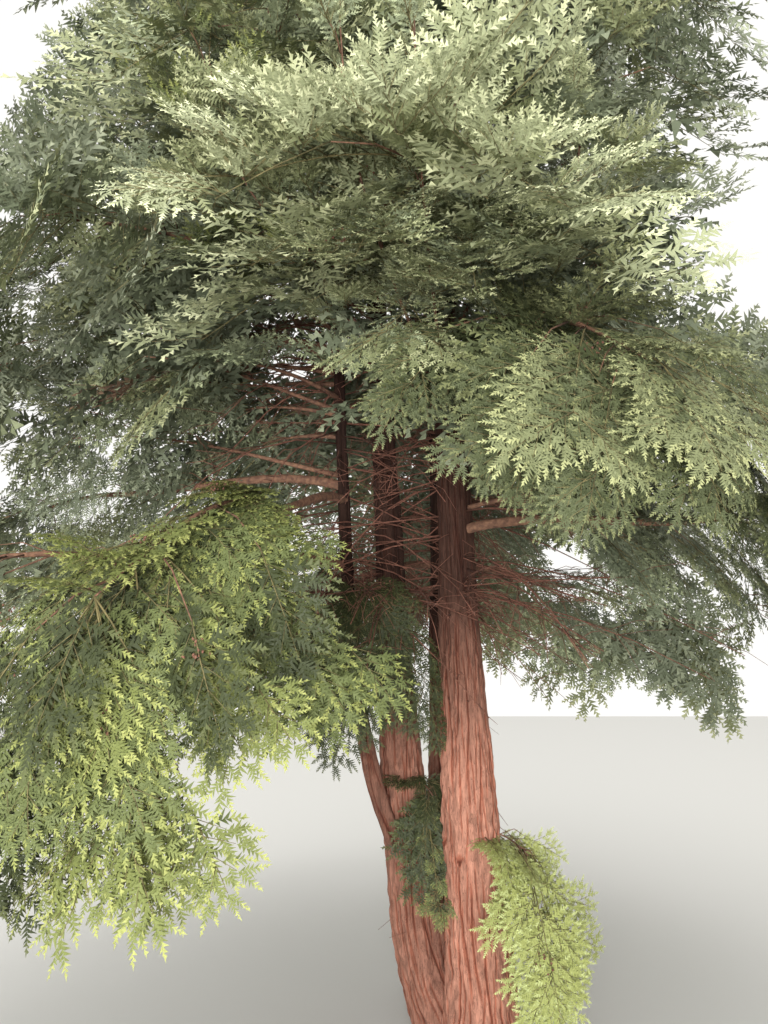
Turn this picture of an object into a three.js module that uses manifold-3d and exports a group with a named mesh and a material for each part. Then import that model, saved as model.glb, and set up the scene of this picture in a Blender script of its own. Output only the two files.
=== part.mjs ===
// A western red cedar that grows as four stems from one root: three trunks and a slim stem that forks off
// the left one. Bare limbs run out from the stems, and each ends where it enters a mass of foliage.
// Millimetres, +Z up, the ground at Z = 0, the front trunk's foot at the origin, +X to the right, -Y to
// the front.
import * as THREE from "three";
import { mergeVertices } from "three/addons/utils/BufferGeometryUtils.js";
import Module from "manifold-3d";

const wasm = await Module();
wasm.setup();

// Driving dimensions
const TREE_HEIGHT = 10000;
const CROWN_RADIUS = 3150;
const CROWN_WAIST = 1800; // the height at which the crown is widest
const FRONT_SHARE = 0.74; // the crown is narrower towards the front
const BACK_SHARE = 0.92;
const TWIG_LENGTH = 520;
const SPRAY_LENGTH = 790; // one blade stands for a whole flat spray of scale leaves
const SPRAY_WIDTH = 0.95; // as a share of what its prongs' spread would give
const SPRAY_THICKNESS = 0.02; // as a share of the length
const SUNK = 22; // how deep a spray's root sits in the end of its twig
const SEAT_GAP = 0.3; // between a limb and what carries it
const CLEARANCE = 1.0; // between neighbours that only pass each other
const LOWEST_TIP = 60; // above the ground
const LIMB_PULL = 0.35; // the share of a limb's length over which each end holds its direction

const UP = new THREE.Vector3(0, 0, 1);
const ACROSS = new THREE.Vector3(1, 0, 0);
const degrees = THREE.MathUtils.degToRad;

const MATERIALS = {
  bark: new THREE.MeshStandardMaterial({ color: 0x8a5440, roughness: 0.95, metalness: 0 }),
  limb: new THREE.MeshStandardMaterial({ color: 0x7a4d3a, roughness: 0.9, metalness: 0 }),
  foliage: new THREE.MeshStandardMaterial({ color: 0x6f8a4f, roughness: 0.7, metalness: 0 }),
};

// One seeded row of numbers from 0 to 1, the same on every run.
function numberRow(seed) {
  let state = seed * 7919;
  const next = () => {
    state = (1664525 * state + 1013904223) % 4294967296;
    return state / 4294967296;
  };
  next();
  next();
  return next;
}

const between = (next, low, high) => low + (high - low) * next();

// The unit vector at an azimuth (0 is +X, 90 is +Y) and a pitch above the horizon, both in degrees.
function heading(azimuth, pitch) {
  const a = degrees(azimuth);
  const p = degrees(pitch);
  return new THREE.Vector3(Math.cos(p) * Math.cos(a), Math.cos(p) * Math.sin(a), Math.sin(p));
}

// The stems. kick is how far a stem swings out of the clump within kickHeight of its foot, lean is its
// slope above that, which fades with height, and shaft, butt and flare make its radius.
const STEMS = {
  trunk_front: {
    foot: [0, 0], start: 0, tip: 8820, kick: [0, 0], kickHeight: 250, lean: [-0.045, 0.0],
    shaft: 100, butt: 48, buttHeight: 1400, flare: 46, sides: 14, rings: 13,
  },
  trunk_left: {
    foot: [-120, 190], start: 0, tip: 8050, kick: [-140, 10], kickHeight: 250, lean: [-0.075, 0.02],
    shaft: 84, butt: 46, buttHeight: 1400, flare: 36, sides: 12, rings: 12,
  },
  trunk_back: {
    foot: [-80, 380], start: 0, tip: 7250, kick: [-15, 60], kickHeight: 300, lean: [-0.01, 0.05],
    shaft: 72, butt: 40, buttHeight: 1400, flare: 34, sides: 12, rings: 11,
  },
  stem_fork: {
    foot: [-265, 170], start: 600, tip: 6100, kick: [-295, -50], kickHeight: 500, lean: [-0.045, -0.01],
    shaft: 39, butt: 14, buttHeight: 350, flare: 0, sides: 10, rings: 11,
  },
};
const LEAN_FADE = 6000;
const FLARE_HEIGHT = 110;
const FLARE_LOBES = 5;
const FLARE_LOBE = 0.45; // how much a lobe adds to the flare, as a share
const SHAFT_END = 0.08; // what is left of the shaft's radius at the tip
const RING_CROWDING = 1.7; // above 1 the rings are closer together at the foot

function stemAxis(stem, z) {
  const rise = z - stem.start;
  const swing = 1 - Math.exp(-rise / stem.kickHeight);
  const leaning = LEAN_FADE * (1 - Math.exp(-rise / LEAN_FADE));
  return new THREE.Vector3(
    stem.foot[0] + stem.kick[0] * swing + stem.lean[0] * leaning,
    stem.foot[1] + stem.kick[1] * swing + stem.lean[1] * leaning,
    z,
  );
}

function stemRadius(stem, z, angle) {
  const rise = z - stem.start;
  const taper = 1 - (1 - SHAFT_END) * (rise / (stem.tip - stem.start));
  const butt = stem.butt * Math.exp(-((rise / stem.buttHeight) ** 2));
  const lobes = 1 + FLARE_LOBE * Math.cos(FLARE_LOBES * angle + stem.foot[1]);
  const flare = stem.flare * lobes * Math.exp(-rise / FLARE_HEIGHT);
  return stem.shaft * taper + butt + flare;
}

// A unit cylinder whose points are carried by place(t, angle, share), share being 0 on the axis and 1 on
// the skin.
function shapedCylinder(sides, rings, place) {
  const shape = new THREE.CylinderGeometry(1, 1, 1, sides, rings);
  const points = shape.attributes.position;
  for (let i = 0; i < points.count; i++) {
    const across = new THREE.Vector2(points.getX(i), points.getZ(i));
    const moved = place(points.getY(i) + 0.5, Math.atan2(-across.y, across.x), across.length());
    points.setXYZ(i, moved.x, moved.y, moved.z);
  }
  return shape;
}

function toSolid(geometry) {
  geometry.deleteAttribute("normal");
  geometry.deleteAttribute("uv");
  const merged = mergeVertices(geometry, 1e-3);
  const vertProperties = merged.attributes.position.array;
  return new wasm.Manifold(
    new wasm.Mesh({ numProp: 3, vertProperties, triVerts: new Uint32Array(merged.index.array) }),
  );
}

function toGeometry(solid) {
  const mesh = solid.getMesh();
  return new THREE.BufferGeometry()
    .setAttribute("position", new THREE.BufferAttribute(new Float32Array(mesh.vertProperties), 3))
    .setIndex(new THREE.BufferAttribute(new Uint32Array(mesh.triVerts), 1));
}

// A stem with level rings, closer together at the foot. grown makes it that much thicker all round.
function stemSolid(stem, grown = 0) {
  return toSolid(
    shapedCylinder(stem.sides, stem.rings, (t, angle, share) => {
      const z = stem.start + (stem.tip - stem.start) * t ** RING_CROWDING;
      const radius = (stemRadius(stem, z, angle) + grown) * share;
      const outward = new THREE.Vector3(Math.cos(angle), Math.sin(angle), 0);
      return stemAxis(stem, z).addScaledVector(outward, radius);
    }),
  );
}

// A tapering round limb along a curve, with square ends. Its section is set level, or along +X where it
// is upright.
function limbSolid(curve, fromRadius, toRadius, sides, rings) {
  return toSolid(
    shapedCylinder(sides, rings, (t, angle, share) => {
      const along = curve.getTangentAt(t);
      const reference = Math.abs(along.z) > 0.95 ? ACROSS : UP;
      const side = new THREE.Vector3().crossVectors(along, reference).normalize();
      const over = new THREE.Vector3().crossVectors(along, side).normalize();
      const radius = THREE.MathUtils.lerp(fromRadius, toRadius, t) * share;
      return curve
        .getPointAt(t)
        .addScaledVector(side, radius * Math.cos(angle))
        .addScaledVector(over, radius * Math.sin(angle));
    }),
  );
}

// The line of a limb: it leaves at its heading, sinks or climbs by drop of its length, and ends with
// slope lift.
function limbLine(root, direction, length, drop, lift) {
  const flat = new THREE.Vector3(direction.x, direction.y, 0);
  flat.normalize();
  const end = root.clone().addScaledVector(flat, length).addScaledVector(UP, length * drop);
  const arriving = flat.clone().addScaledVector(UP, lift).normalize();
  return new THREE.CubicBezierCurve3(
    root,
    root.clone().addScaledVector(direction, length * LIMB_PULL),
    end.clone().addScaledVector(arriving, -length * LIMB_PULL),
    end,
  );
}

// The crown's outline: how far from the middle of the clump its tips reach at a height and azimuth.
const CROWN_MIDDLE = new THREE.Vector2(-250, 130);

function crownReach(z, azimuth) {
  const climb = THREE.MathUtils.clamp((z - CROWN_WAIST) / (TREE_HEIGHT - CROWN_WAIST), 0, 1);
  const side = Math.sin(degrees(azimuth));
  const share = side < 0 ? 1 - (1 - FRONT_SHARE) * side ** 2 : 1 - (1 - BACK_SHARE) * side ** 2;
  return CROWN_RADIUS * share * (1 - climb) ** 0.8;
}

// How far a limb can run from a point at an azimuth before it meets the outline at that height.
function roomTo(point, azimuth, z) {
  const reach = crownReach(z, azimuth);
  const way = heading(azimuth, 0);
  const offset = new THREE.Vector2(point.x - CROWN_MIDDLE.x, point.y - CROWN_MIDDLE.y);
  const along = offset.x * way.x + offset.y * way.y;
  const across = offset.lengthSq() - along ** 2;
  return Math.sqrt(Math.max(reach ** 2 - across, 0)) - along;
}

const LEADER_ROOM = 350; // no limb leaves a stem closer to its tip than this

// The stem that stands furthest out towards an azimuth and still has girth at that height carries the
// limb.
function carrierAt(z, azimuth) {
  const way = heading(azimuth, 0);
  const out = (stem) => stemAxis(stem, z).dot(way);
  const tallEnough = Object.values(STEMS).filter((stem) => z < stem.tip - LEADER_ROOM);
  return tallEnough.reduce((best, stem) => (out(stem) > out(best) ? stem : best));
}

// Bare boughs of the lower crown, each one limb that ends in a mass. azimuth is where it grows to, root
// the height that it leaves its stem at, pitch its slope there and drop its fall as a share of its
// length. hang is how its mass hangs, from 0 for flat to 1 for a curtain, and sag the fall of the mass's
// own stem as a share of its length.
const BOUGHS = [
  { name: "low_front_left", azimuth: -112, root: 2380, pitch: 4, drop: -0.22, hang: 0.8, sag: 0.5 },
  { name: "low_left_front", azimuth: -151, root: 2050, pitch: 14, drop: -0.02, hang: 0.75, sag: 0.25 },
  { name: "low_left", azimuth: 166, root: 2450, pitch: 18, drop: 0.02, hang: 0.75, sag: 0.2 },
  { name: "low_back_left", azimuth: 124, root: 2100, pitch: 14, drop: 0.0, hang: 0.8, sag: 0.2 },
  { name: "low_back", azimuth: 84, root: 2480, pitch: 16, drop: 0.0, hang: 0.75, sag: 0.2 },
  { name: "low_back_right", azimuth: 44, root: 2080, pitch: 14, drop: 0.0, hang: 0.8, sag: 0.2 },
  { name: "low_right", azimuth: 4, root: 2420, pitch: 16, drop: -0.02, hang: 0.8, sag: 0.2 },
  { name: "low_right_front", azimuth: -33, root: 2200, pitch: 12, drop: -0.04, hang: 0.7, sag: 0.25 },
  { name: "mid_front_right", azimuth: -68, root: 3280, pitch: -12, drop: -0.5, hang: 0.75, sag: 0.55 },
  { name: "mid_front", azimuth: -99, root: 3120, pitch: 28, drop: 0.28, hang: 0.6, sag: 0.0 },
  { name: "mid_front_left", azimuth: -140, root: 3400, pitch: 20, drop: 0.1, hang: 0.78, sag: 0.2 },
  { name: "mid_left", azimuth: 178, root: 3150, pitch: 20, drop: 0.1, hang: 0.78, sag: 0.2 },
  { name: "mid_back_left", azimuth: 118, root: 3420, pitch: 20, drop: 0.12, hang: 0.78, sag: 0.2 },
  { name: "mid_back", azimuth: 62, root: 3180, pitch: 20, drop: 0.1, hang: 0.78, sag: 0.2 },
  { name: "mid_right", azimuth: 12, root: 3450, pitch: 20, drop: 0.1, hang: 0.78, sag: 0.2 },
];
const MASS_STEM = 850; // how far a mass's stem carries on from its bough
const BOUGH_RADIUS = 26;
const BOUGH_TIP_RADIUS = 15;

// Above the boughs the masses' own stems run in to a trunk, round it by the golden angle from bottom to
// top.
const UPPER_MASSES = 19;
const UPPER_FROM = 3950;
const UPPER_TO = 8350;
const CROWDING = 1.1; // above 1 the masses are closer together lower down
const GOLDEN_ANGLE = 137.5;
const FIRST_UPPER_AZIMUTH = -100;

const pieces = []; // every limb, twig and blade that stands: { owner, solid, box }
const nodes = []; // { name, solid, material }

function boxOf(solid) {
  const { min, max } = solid.boundingBox();
  return new THREE.Box3(new THREE.Vector3(...min), new THREE.Vector3(...max));
}

function keepPiece(owner, solid) {
  pieces.push({ owner, solid, box: boxOf(solid).expandByScalar(CLEARANCE) });
}

// Whether a solid comes too near anything but what it grows from. It may all but touch the rest of its
// own mass.
function touches(owner, solid, parents) {
  const box = boxOf(solid);
  return pieces.some((piece) => {
    if (parents.includes(piece.solid) || !piece.box.intersectsBox(box)) return false;
    const gap = solid.minGap(piece.solid, CLEARANCE);
    return piece.owner === owner ? gap === 0 : gap < CLEARANCE;
  });
}

// The stems, each cut clear of those before it where their feet have grown together.
const thickened = {};
for (const [name, stem] of Object.entries(STEMS)) {
  let solid = stemSolid(stem);
  for (const other of Object.values(thickened)) solid = solid.subtract(other);
  thickened[name] = stemSolid(stem, SEAT_GAP * 1.2);
  nodes.push({ name, solid, material: "bark" });
  keepPiece(name, solid);
}

function largestBody(solid) {
  return solid.decompose().reduce((best, body) => (body.volume() > best.volume() ? body : best));
}

// A limb cut clear of every stem, so that it starts at the bark of the last one that it comes out of.
function seated(limb) {
  const cut = Object.values(thickened).reduce((left, stem) => left.subtract(stem), limb);
  return largestBody(cut);
}

// What each mass grows on: its stem's line and radius, how it hangs, its twigs and where the first one
// stands. outward is the azimuth that its sprays face, around is set on an upright leader, and size on a
// small spray.
const masses = [];

for (const [index, bough] of BOUGHS.entries()) {
  const root = stemAxis(carrierAt(bough.root, bough.azimuth), bough.root);
  const massReach = MASS_STEM + SPRAY_LENGTH * (1 - 0.5 * bough.hang);
  const length = roomTo(root, bough.azimuth, bough.root) - massReach;
  const line = limbLine(root, heading(bough.azimuth, bough.pitch), length, bough.drop, 0.05);
  const solid = seated(limbSolid(line, BOUGH_RADIUS, BOUGH_TIP_RADIUS, 6, 4));
  nodes.push({ name: `bough_${bough.name}`, solid, material: "limb" });
  keepPiece(`bough_${bough.name}`, solid);
  const leaving = line.getTangentAt(1);
  const start = line.getPointAt(1).addScaledVector(leaving, SEAT_GAP);
  masses.push({
    name: `mass_${bough.name}`,
    line: limbLine(start, leaving, MASS_STEM, -bough.sag, -1.5 * bough.sag),
    fromRadius: BOUGH_TIP_RADIUS,
    hang: bough.hang,
    outward: heading(bough.azimuth, 0),
    twigs: 5,
    firstTwig: 0.1,
    seed: index + 1,
  });
}

for (let i = 0; i < UPPER_MASSES; i++) {
  const climb = (i / (UPPER_MASSES - 1)) ** CROWDING;
  const azimuth = FIRST_UPPER_AZIMUTH + GOLDEN_ANGLE * i;
  const height = THREE.MathUtils.lerp(UPPER_FROM, UPPER_TO, climb);
  const root = stemAxis(carrierAt(height, azimuth), height);
  const hang = 0.8 - 0.25 * climb;
  const lift = 0.12 + 0.4 * climb;
  const length = roomTo(root, azimuth, height) - SPRAY_LENGTH * (1 - 0.4 * hang);
  masses.push({
    name: `mass_upper_${i + 1}`,
    line: limbLine(root, heading(azimuth, 20 + 25 * climb), length, lift, lift - 0.3 * hang),
    fromRadius: 18 - 6 * climb,
    hang,
    outward: heading(azimuth, 0),
    twigs: 5,
    firstTwig: 0.34,
    seed: 100 + i,
    seatedOnTrunk: true,
  });
}

const SIDE_LEADER_LENGTH = 450;

// The leader over each of the three trunks and the fork stem carries on from its tip.
for (const [name, stem] of Object.entries(STEMS)) {
  const tip = stemAxis(stem, stem.tip + SEAT_GAP);
  const length = name === "trunk_front" ? TREE_HEIGHT - stem.tip - SPRAY_LENGTH : SIDE_LEADER_LENGTH;
  masses.push({
    name: `mass_top_${name.split("_")[1]}`,
    line: new THREE.LineCurve3(tip, tip.clone().addScaledVector(UP, length)),
    fromRadius: stem.shaft * SHAFT_END,
    hang: 0,
    twigs: 5,
    firstTwig: 0.1,
    around: true,
    seed: 200 + masses.length,
  });
}

// Sprays that sprout from the bark low down and hang against the stems. out is how far they stand off,
// facing the azimuth that their flat side is turned to, and size their share of the usual size.
const LOW_SPRAYS = [
  { name: "right", stem: "trunk_front", height: 860, azimuth: -22, out: 250, facing: -75, size: 0.82 },
  { name: "between", stem: "trunk_left", height: 1060, azimuth: -48, out: 200, facing: -85, size: 0.55 },
  { name: "fork", stem: "stem_fork", height: 1950, azimuth: -60, out: 260, facing: -75, size: 0.75 },
];
for (const [index, spray] of LOW_SPRAYS.entries()) {
  const root = stemAxis(STEMS[spray.stem], spray.height);
  masses.push({
    name: `low_spray_${spray.name}`,
    line: limbLine(root, heading(spray.azimuth, 25), spray.out, -0.3, -1.2),
    fromRadius: 8,
    hang: 1,
    twigs: 3,
    firstTwig: 0.75,
    outward: heading(spray.facing, 0),
    size: spray.size,
    seed: 300 + index,
    seatedOnTrunk: true,
  });
}

const MASS_TIP_RADIUS = 7;
const TWIG_RADIUS = 9;
const TWIG_TIP_RADIUS = 7;
const LAST_TWIG = 0.88; // where a mass's last twig leaves its stem, as a share of the stem's length
const SLIVER = 0.2; // faces narrower than this are taken out of a fused mass
for (const mass of masses) {
  const whole = limbSolid(mass.line, mass.fromRadius, MASS_TIP_RADIUS, 4, mass.around ? 1 : 3);
  mass.solids = [mass.seatedOnTrunk ? seated(whole) : whole];
  keepPiece(mass.name, mass.solids[0]);
}

// A flat spray as a toothed blade: a six-cornered ball flattened to three prongs. It runs along a
// direction from its root, with its flat side towards face, and its end nods.
const PRONGS = 3;
const THICKEST = 0.22; // where along its length
const PRONG_SPREAD = degrees(31);

function bladeSolid(root, along, face, length, nod) {
  const side = new THREE.Vector3().crossVectors(face, along).normalize();
  const over = new THREE.Vector3().crossVectors(along, side).normalize();
  const corners = 2 * PRONGS;
  const shape = new THREE.SphereGeometry(1, corners, 2);
  const points = shape.attributes.position;
  for (let i = 0; i < points.count; i++) {
    const pole = Math.round(points.getY(i)); // 1 and -1 at the poles, 0 round the rim
    let reach = THICKEST;
    let turn = 0;
    if (pole === 0) {
      const angle = Math.atan2(-points.getZ(i), points.getX(i));
      const corner = (Math.round((angle / (2 * Math.PI)) * corners) + corners) % corners;
      // corner 0 is the root, and the others run round the fan from one side to the other
      const place = corner === 0 ? 0 : (corner - corners / 2) / (corners / 2 - 1);
      const isNotch = corner % 2 === 0;
      turn = place * PRONG_SPREAD;
      reach = corner === 0 ? 0 : (1 - 0.4 * Math.abs(place)) * (isNotch ? 0.76 : 1);
    }
    const x = reach * Math.cos(turn) * length;
    const y = reach * Math.sin(turn) * length * SPRAY_WIDTH;
    const z = (pole * SPRAY_THICKNESS * length) / 2 - nod * length * reach ** 2;
    const moved = root.clone().addScaledVector(along, x).addScaledVector(side, y).addScaledVector(over, z);
    points.setXYZ(i, moved.x, moved.y, moved.z);
  }
  return toSolid(shape);
}

// Adds a piece to a mass if it stays above the ground and clear of all but the parents that it grows
// from.
function addTo(mass, solid, parents) {
  if (solid.boundingBox().min[2] < LOWEST_TIP || touches(mass.name, solid, parents)) return false;
  mass.solids.push(solid);
  keepPiece(mass.name, solid);
  return true;
}

// A blade that would touch something is tried again with its face turned, and is skipped where no turn
// clears it.
const FACE_TURNS = [0, 0.5, -0.5, 1];

function addBlade(mass, parents, root, along, face, length, nod) {
  const side = new THREE.Vector3().crossVectors(along, face).normalize();
  return FACE_TURNS.some((turn) => {
    const turned = face.clone().addScaledVector(side, turn);
    return addTo(mass, bladeSolid(root, along, turned, length, nod), parents);
  });
}

// The growth rule: twigs leave the stem by turns to the left and right, or all round a leader, and get
// shorter towards its tip. Each ends in a spray, the long ones carry a second half way, and the stem ends
// in one too. The more a mass hangs, the more its twigs and sprays point down and turn their flat side
// outwards.
function grow(mass) {
  const next = numberRow(mass.seed);
  const size = mass.size ?? 1;
  const [massStem] = mass.solids;
  for (let i = 0; i < mass.twigs; i++) {
    const t = THREE.MathUtils.lerp(mass.firstTwig, LAST_TWIG, i / (mass.twigs - 1));
    const open = degrees(between(next, 50, 68) - 14 * t);
    const twigLength = TWIG_LENGTH * size ** 3 * between(next, 0.85, 1.15) * (1 - 0.4 * t);
    const bladeLength = SPRAY_LENGTH * size * between(next, 0.88, 1.12);
    const roll = between(next, -0.3, 0.3);
    const nod = between(next, 0.05, 0.14);
    const stem = mass.line.getTangentAt(t);
    const side = new THREE.Vector3().crossVectors(stem, mass.around ? ACROSS : UP).normalize();
    if (mass.around) side.applyAxisAngle(stem, degrees(GOLDEN_ANGLE * i));
    else if (i % 2) side.negate();
    const along = stem.clone().multiplyScalar(Math.cos(open)).addScaledVector(side, Math.sin(open));
    along.addScaledVector(UP, -0.45 * mass.hang).normalize();
    const root = mass.line.getPointAt(t);
    const end = root.clone().addScaledVector(along, twigLength);
    const twig = limbSolid(new THREE.LineCurve3(root, end), TWIG_RADIUS, TWIG_TIP_RADIUS, 3, 1);
    if (!addTo(mass, twig, [massStem])) continue;
    const face = UP.clone().multiplyScalar(1 - mass.hang);
    face.addScaledVector(mass.outward ?? side, Math.max(mass.hang, 0.3)).addScaledVector(side, roll);
    const tipWay = along.clone().addScaledVector(UP, -0.9 * mass.hang).normalize();
    addBlade(mass, [twig], end.clone().addScaledVector(along, -SUNK), tipWay, face, bladeLength, nod);
    if (mass.around || mass.size || i === mass.twigs - 1) continue;
    const innerWay = along.clone().addScaledVector(stem, 0.8).addScaledVector(UP, -1.5 * mass.hang);
    addBlade(mass, [twig], root.clone().lerp(end, 0.45), innerWay.normalize(), face, bladeLength * 0.9, nod);
  }
  const lastWay = mass.line.getTangentAt(1).addScaledVector(UP, -mass.hang).normalize();
  const lastRoot = mass.line.getPoint(1).addScaledVector(mass.line.getTangentAt(1), -SUNK);
  const face = new THREE.Vector3(0, -1, 0);
  if (mass.outward) face.lerpVectors(UP, mass.outward, mass.hang);
  addBlade(mass, [massStem], lastRoot, lastWay, face, SPRAY_LENGTH * size, 0.08);
}

for (const mass of masses) {
  grow(mass);
  const fused = wasm.Manifold.union(mass.solids).asOriginal().simplify(SLIVER);
  nodes.push({ name: mass.name, solid: largestBody(fused), material: "foliage" });
}

const tree = new THREE.Group();
for (const { name, solid, material } of nodes) {
  const mesh = new THREE.Mesh(toGeometry(solid), MATERIALS[material]);
  mesh.name = name;
  tree.add(mesh);
}

export default tree;
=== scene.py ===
# %% [markdown]
# This notebook dresses a western red cedar in Blender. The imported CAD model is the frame: it says
# where the four stems, the fifteen boughs and the masses of foliage are, and how far they reach.
# Each simple solid in it is replaced by what a person would see there: fibrous bark, drooping
# limbs, and flat fern-like sprays of scale leaves.
#
# Everything is in metres, with +Z up, the ground at Z = 0 and the front trunk's foot at the origin.
# The photograph was taken from the -Y side.

# %% The frame
import math

import bpy
import numpy as np
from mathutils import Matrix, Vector, noise


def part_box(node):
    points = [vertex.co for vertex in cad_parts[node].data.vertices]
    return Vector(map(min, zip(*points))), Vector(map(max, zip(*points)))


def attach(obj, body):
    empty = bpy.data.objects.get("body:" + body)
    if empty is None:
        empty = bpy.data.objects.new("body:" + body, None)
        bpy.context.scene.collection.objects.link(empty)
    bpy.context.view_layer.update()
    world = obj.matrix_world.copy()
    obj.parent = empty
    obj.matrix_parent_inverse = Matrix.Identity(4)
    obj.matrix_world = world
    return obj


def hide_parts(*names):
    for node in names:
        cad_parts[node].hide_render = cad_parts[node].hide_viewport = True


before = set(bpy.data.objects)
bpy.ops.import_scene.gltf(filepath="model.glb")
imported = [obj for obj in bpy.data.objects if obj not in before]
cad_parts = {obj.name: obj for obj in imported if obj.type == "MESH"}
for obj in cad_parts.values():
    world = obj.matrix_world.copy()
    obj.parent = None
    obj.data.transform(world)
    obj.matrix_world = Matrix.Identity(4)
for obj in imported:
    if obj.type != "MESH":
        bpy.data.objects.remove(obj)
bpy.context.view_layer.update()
BODY = "root"
masses_in_frame = sorted(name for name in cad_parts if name.startswith(("mass_", "low_spray_")))
boughs_in_frame = sorted(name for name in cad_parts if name.startswith("bough_"))
print("the frame holds", len(boughs_in_frame), "boughs and", len(masses_in_frame), "masses of foliage")

# %% [markdown]
# The camera comes first, because it decides how fine the leaves have to be. A phone was held at eye
# height, a little under four metres from the trunk, and tipped up by 11 degrees, so the trunks
# narrow quickly towards the top and the crown runs out of the picture on three sides. The focal
# length is written as pixels of the photograph's tall side, which is how it is measured from a
# picture.

# %% The camera
EYE = Vector((-0.42, -3.6, 1.6))
TIPPED_UP = math.radians(11)
PHOTO_WIDTH, PHOTO_HEIGHT = 768, 1024
FOCAL_PIXELS = 769
SENSOR = 36.0

camera_data = bpy.data.cameras.new("camera")
camera_data.sensor_width = SENSOR
camera_data.lens = SENSOR * FOCAL_PIXELS / PHOTO_HEIGHT
camera_data.clip_end = 100
camera = bpy.data.objects.new("camera", camera_data)
camera.location = EYE
camera.rotation_euler = (math.pi / 2 + TIPPED_UP, 0, 0)
bpy.context.collection.objects.link(camera)
bpy.context.scene.camera = camera
print("the lens is", round(camera_data.lens, 2), "mm on a", SENSOR, "mm sensor")

# %% [markdown]
# The stems follow two formulas, one for the line of the pith and one for the radius. They are the
# frame's own, so the bark fits the solids that it covers: each stem swings out of the shared root,
# then leans by less and less, and its radius is an even taper plus a butt plus a flare at the
# ground with five shallow lobes.

# %% The stems' formulas
STEMS = {
    "trunk_front": dict(
        foot=(0.0, 0.0), kick=(0.0, 0.0), kick_height=0.25, lean=(-0.045, 0.0),
        shaft=0.100, butt=0.048, butt_height=1.4, flare=0.046,
    ),
    "trunk_left": dict(
        foot=(-0.12, 0.19), kick=(-0.14, 0.01), kick_height=0.25, lean=(-0.075, 0.02),
        shaft=0.084, butt=0.046, butt_height=1.4, flare=0.036,
    ),
    "trunk_back": dict(
        foot=(-0.08, 0.38), kick=(-0.015, 0.06), kick_height=0.3, lean=(-0.01, 0.05),
        shaft=0.072, butt=0.040, butt_height=1.4, flare=0.034,
    ),
    "stem_fork": dict(
        foot=(-0.265, 0.17), kick=(-0.295, -0.05), kick_height=0.5, lean=(-0.045, -0.01),
        shaft=0.039, butt=0.014, butt_height=0.35, flare=0.0,
    ),
}
FORK_START = 0.6
LEAN_FADE = 6.0
FLARE_HEIGHT = 0.11
FLARE_LOBES = 5
SHAFT_END = 0.08
BREAST_HEIGHT = 1.3

for name, stem in STEMS.items():
    stem["start"] = FORK_START if name == "stem_fork" else 0.0
    stem["tip"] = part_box(name)[1].z


def stem_axis(stem, z):
    rise = z - stem["start"]
    swing = 1 - np.exp(-rise / stem["kick_height"])
    leaning = LEAN_FADE * (1 - np.exp(-rise / LEAN_FADE))
    x, y = (f + k * swing + s * leaning for f, k, s in zip(stem["foot"], stem["kick"], stem["lean"]))
    return np.stack([x, y, z + 0 * x], axis=-1)


def stem_radius(stem, z):
    rise = z - stem["start"]
    taper = 1 - (1 - SHAFT_END) * rise / (stem["tip"] - stem["start"])
    butt = stem["butt"] * np.exp(-((rise / stem["butt_height"]) ** 2))
    return stem["shaft"] * taper + butt + stem["flare"] * np.exp(-rise / FLARE_HEIGHT)


for name, stem in STEMS.items():
    width = round(2000 * stem_radius(stem, BREAST_HEIGHT))
    print(name, "is", round(stem["tip"], 2), "m tall and", width, "mm thick at breast height")

# %% [markdown]
# A limb is a smooth curve with four control points. Positions on it are asked for by share of its
# length, so the curve keeps a short table of how far along it each step is. Branches and twigs are
# seeded by one plain row of numbers, which gives the same tree on every run.

# %% Limb lines and the row of numbers
UP = np.array([0.0, 0.0, 1.0])
CURVE_STEPS = 200


def unit(vector):
    return vector / np.linalg.norm(vector)


def heading(azimuth, pitch):
    a, p = math.radians(azimuth), math.radians(pitch)
    return np.array([math.cos(p) * math.cos(a), math.cos(p) * math.sin(a), math.sin(p)])


class Line:
    """A cubic curve that is read by share of its length."""

    def __init__(self, *controls):
        self.controls = np.array(controls, float)
        self.shares = np.linspace(0, 1, CURVE_STEPS + 1)
        steps = np.diff(self.raw(self.shares), axis=0)
        self.lengths = np.append(0, np.cumsum(np.linalg.norm(steps, axis=1)))

    def raw(self, t):
        t = np.asarray(t, float)[..., None]
        a, b, c, d = self.controls
        return (1 - t) ** 3 * a + 3 * (1 - t) ** 2 * t * b + 3 * (1 - t) * t**2 * c + t**3 * d

    def point(self, share):
        return self.raw(np.interp(np.asarray(share) * self.lengths[-1], self.lengths, self.shares))

    def tangent(self, share):
        step = 1e-3
        start = min(max(share - step, 0), 1 - 2 * step)
        return unit(self.point(start + 2 * step) - self.point(start))


def limb_line(root, direction, length, drop, lift):
    flat = unit(direction * (1, 1, 0))
    end = root + flat * length + UP * length * drop
    arriving = unit(flat + UP * lift)
    return Line(root, root + direction * length * 0.35, end - arriving * length * 0.35, end)


def number_row(seed):
    state = seed * 7919
    drawn = 0
    while True:
        state = (1664525 * state + 1013904223) % 4294967296
        drawn += 1
        if drawn > 2:
            yield state / 4294967296


def between(row, low, high):
    return low + (high - low) * next(row)


# %% [markdown]
# The crown is a cone that bulges a little, widest at about 1.8 m and flatter towards the front.
# Each limb asks how much room it has before it meets that outline. The frame's solids were grown by
# the same rule, so the finer branches here stay within the same reach.

# %% The crown's outline
TREE_HEIGHT = 10.0
CROWN_RADIUS = 3.15
CROWN_WAIST = 1.8
FRONT_SHARE = 0.74
BACK_SHARE = 0.92
CROWN_MIDDLE = np.array([-0.25, 0.13])
TWIG_LENGTH = 0.52
SPRAY_LENGTH = 0.79
MASS_STEM = 0.85
LEADER_ROOM = 0.35


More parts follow.
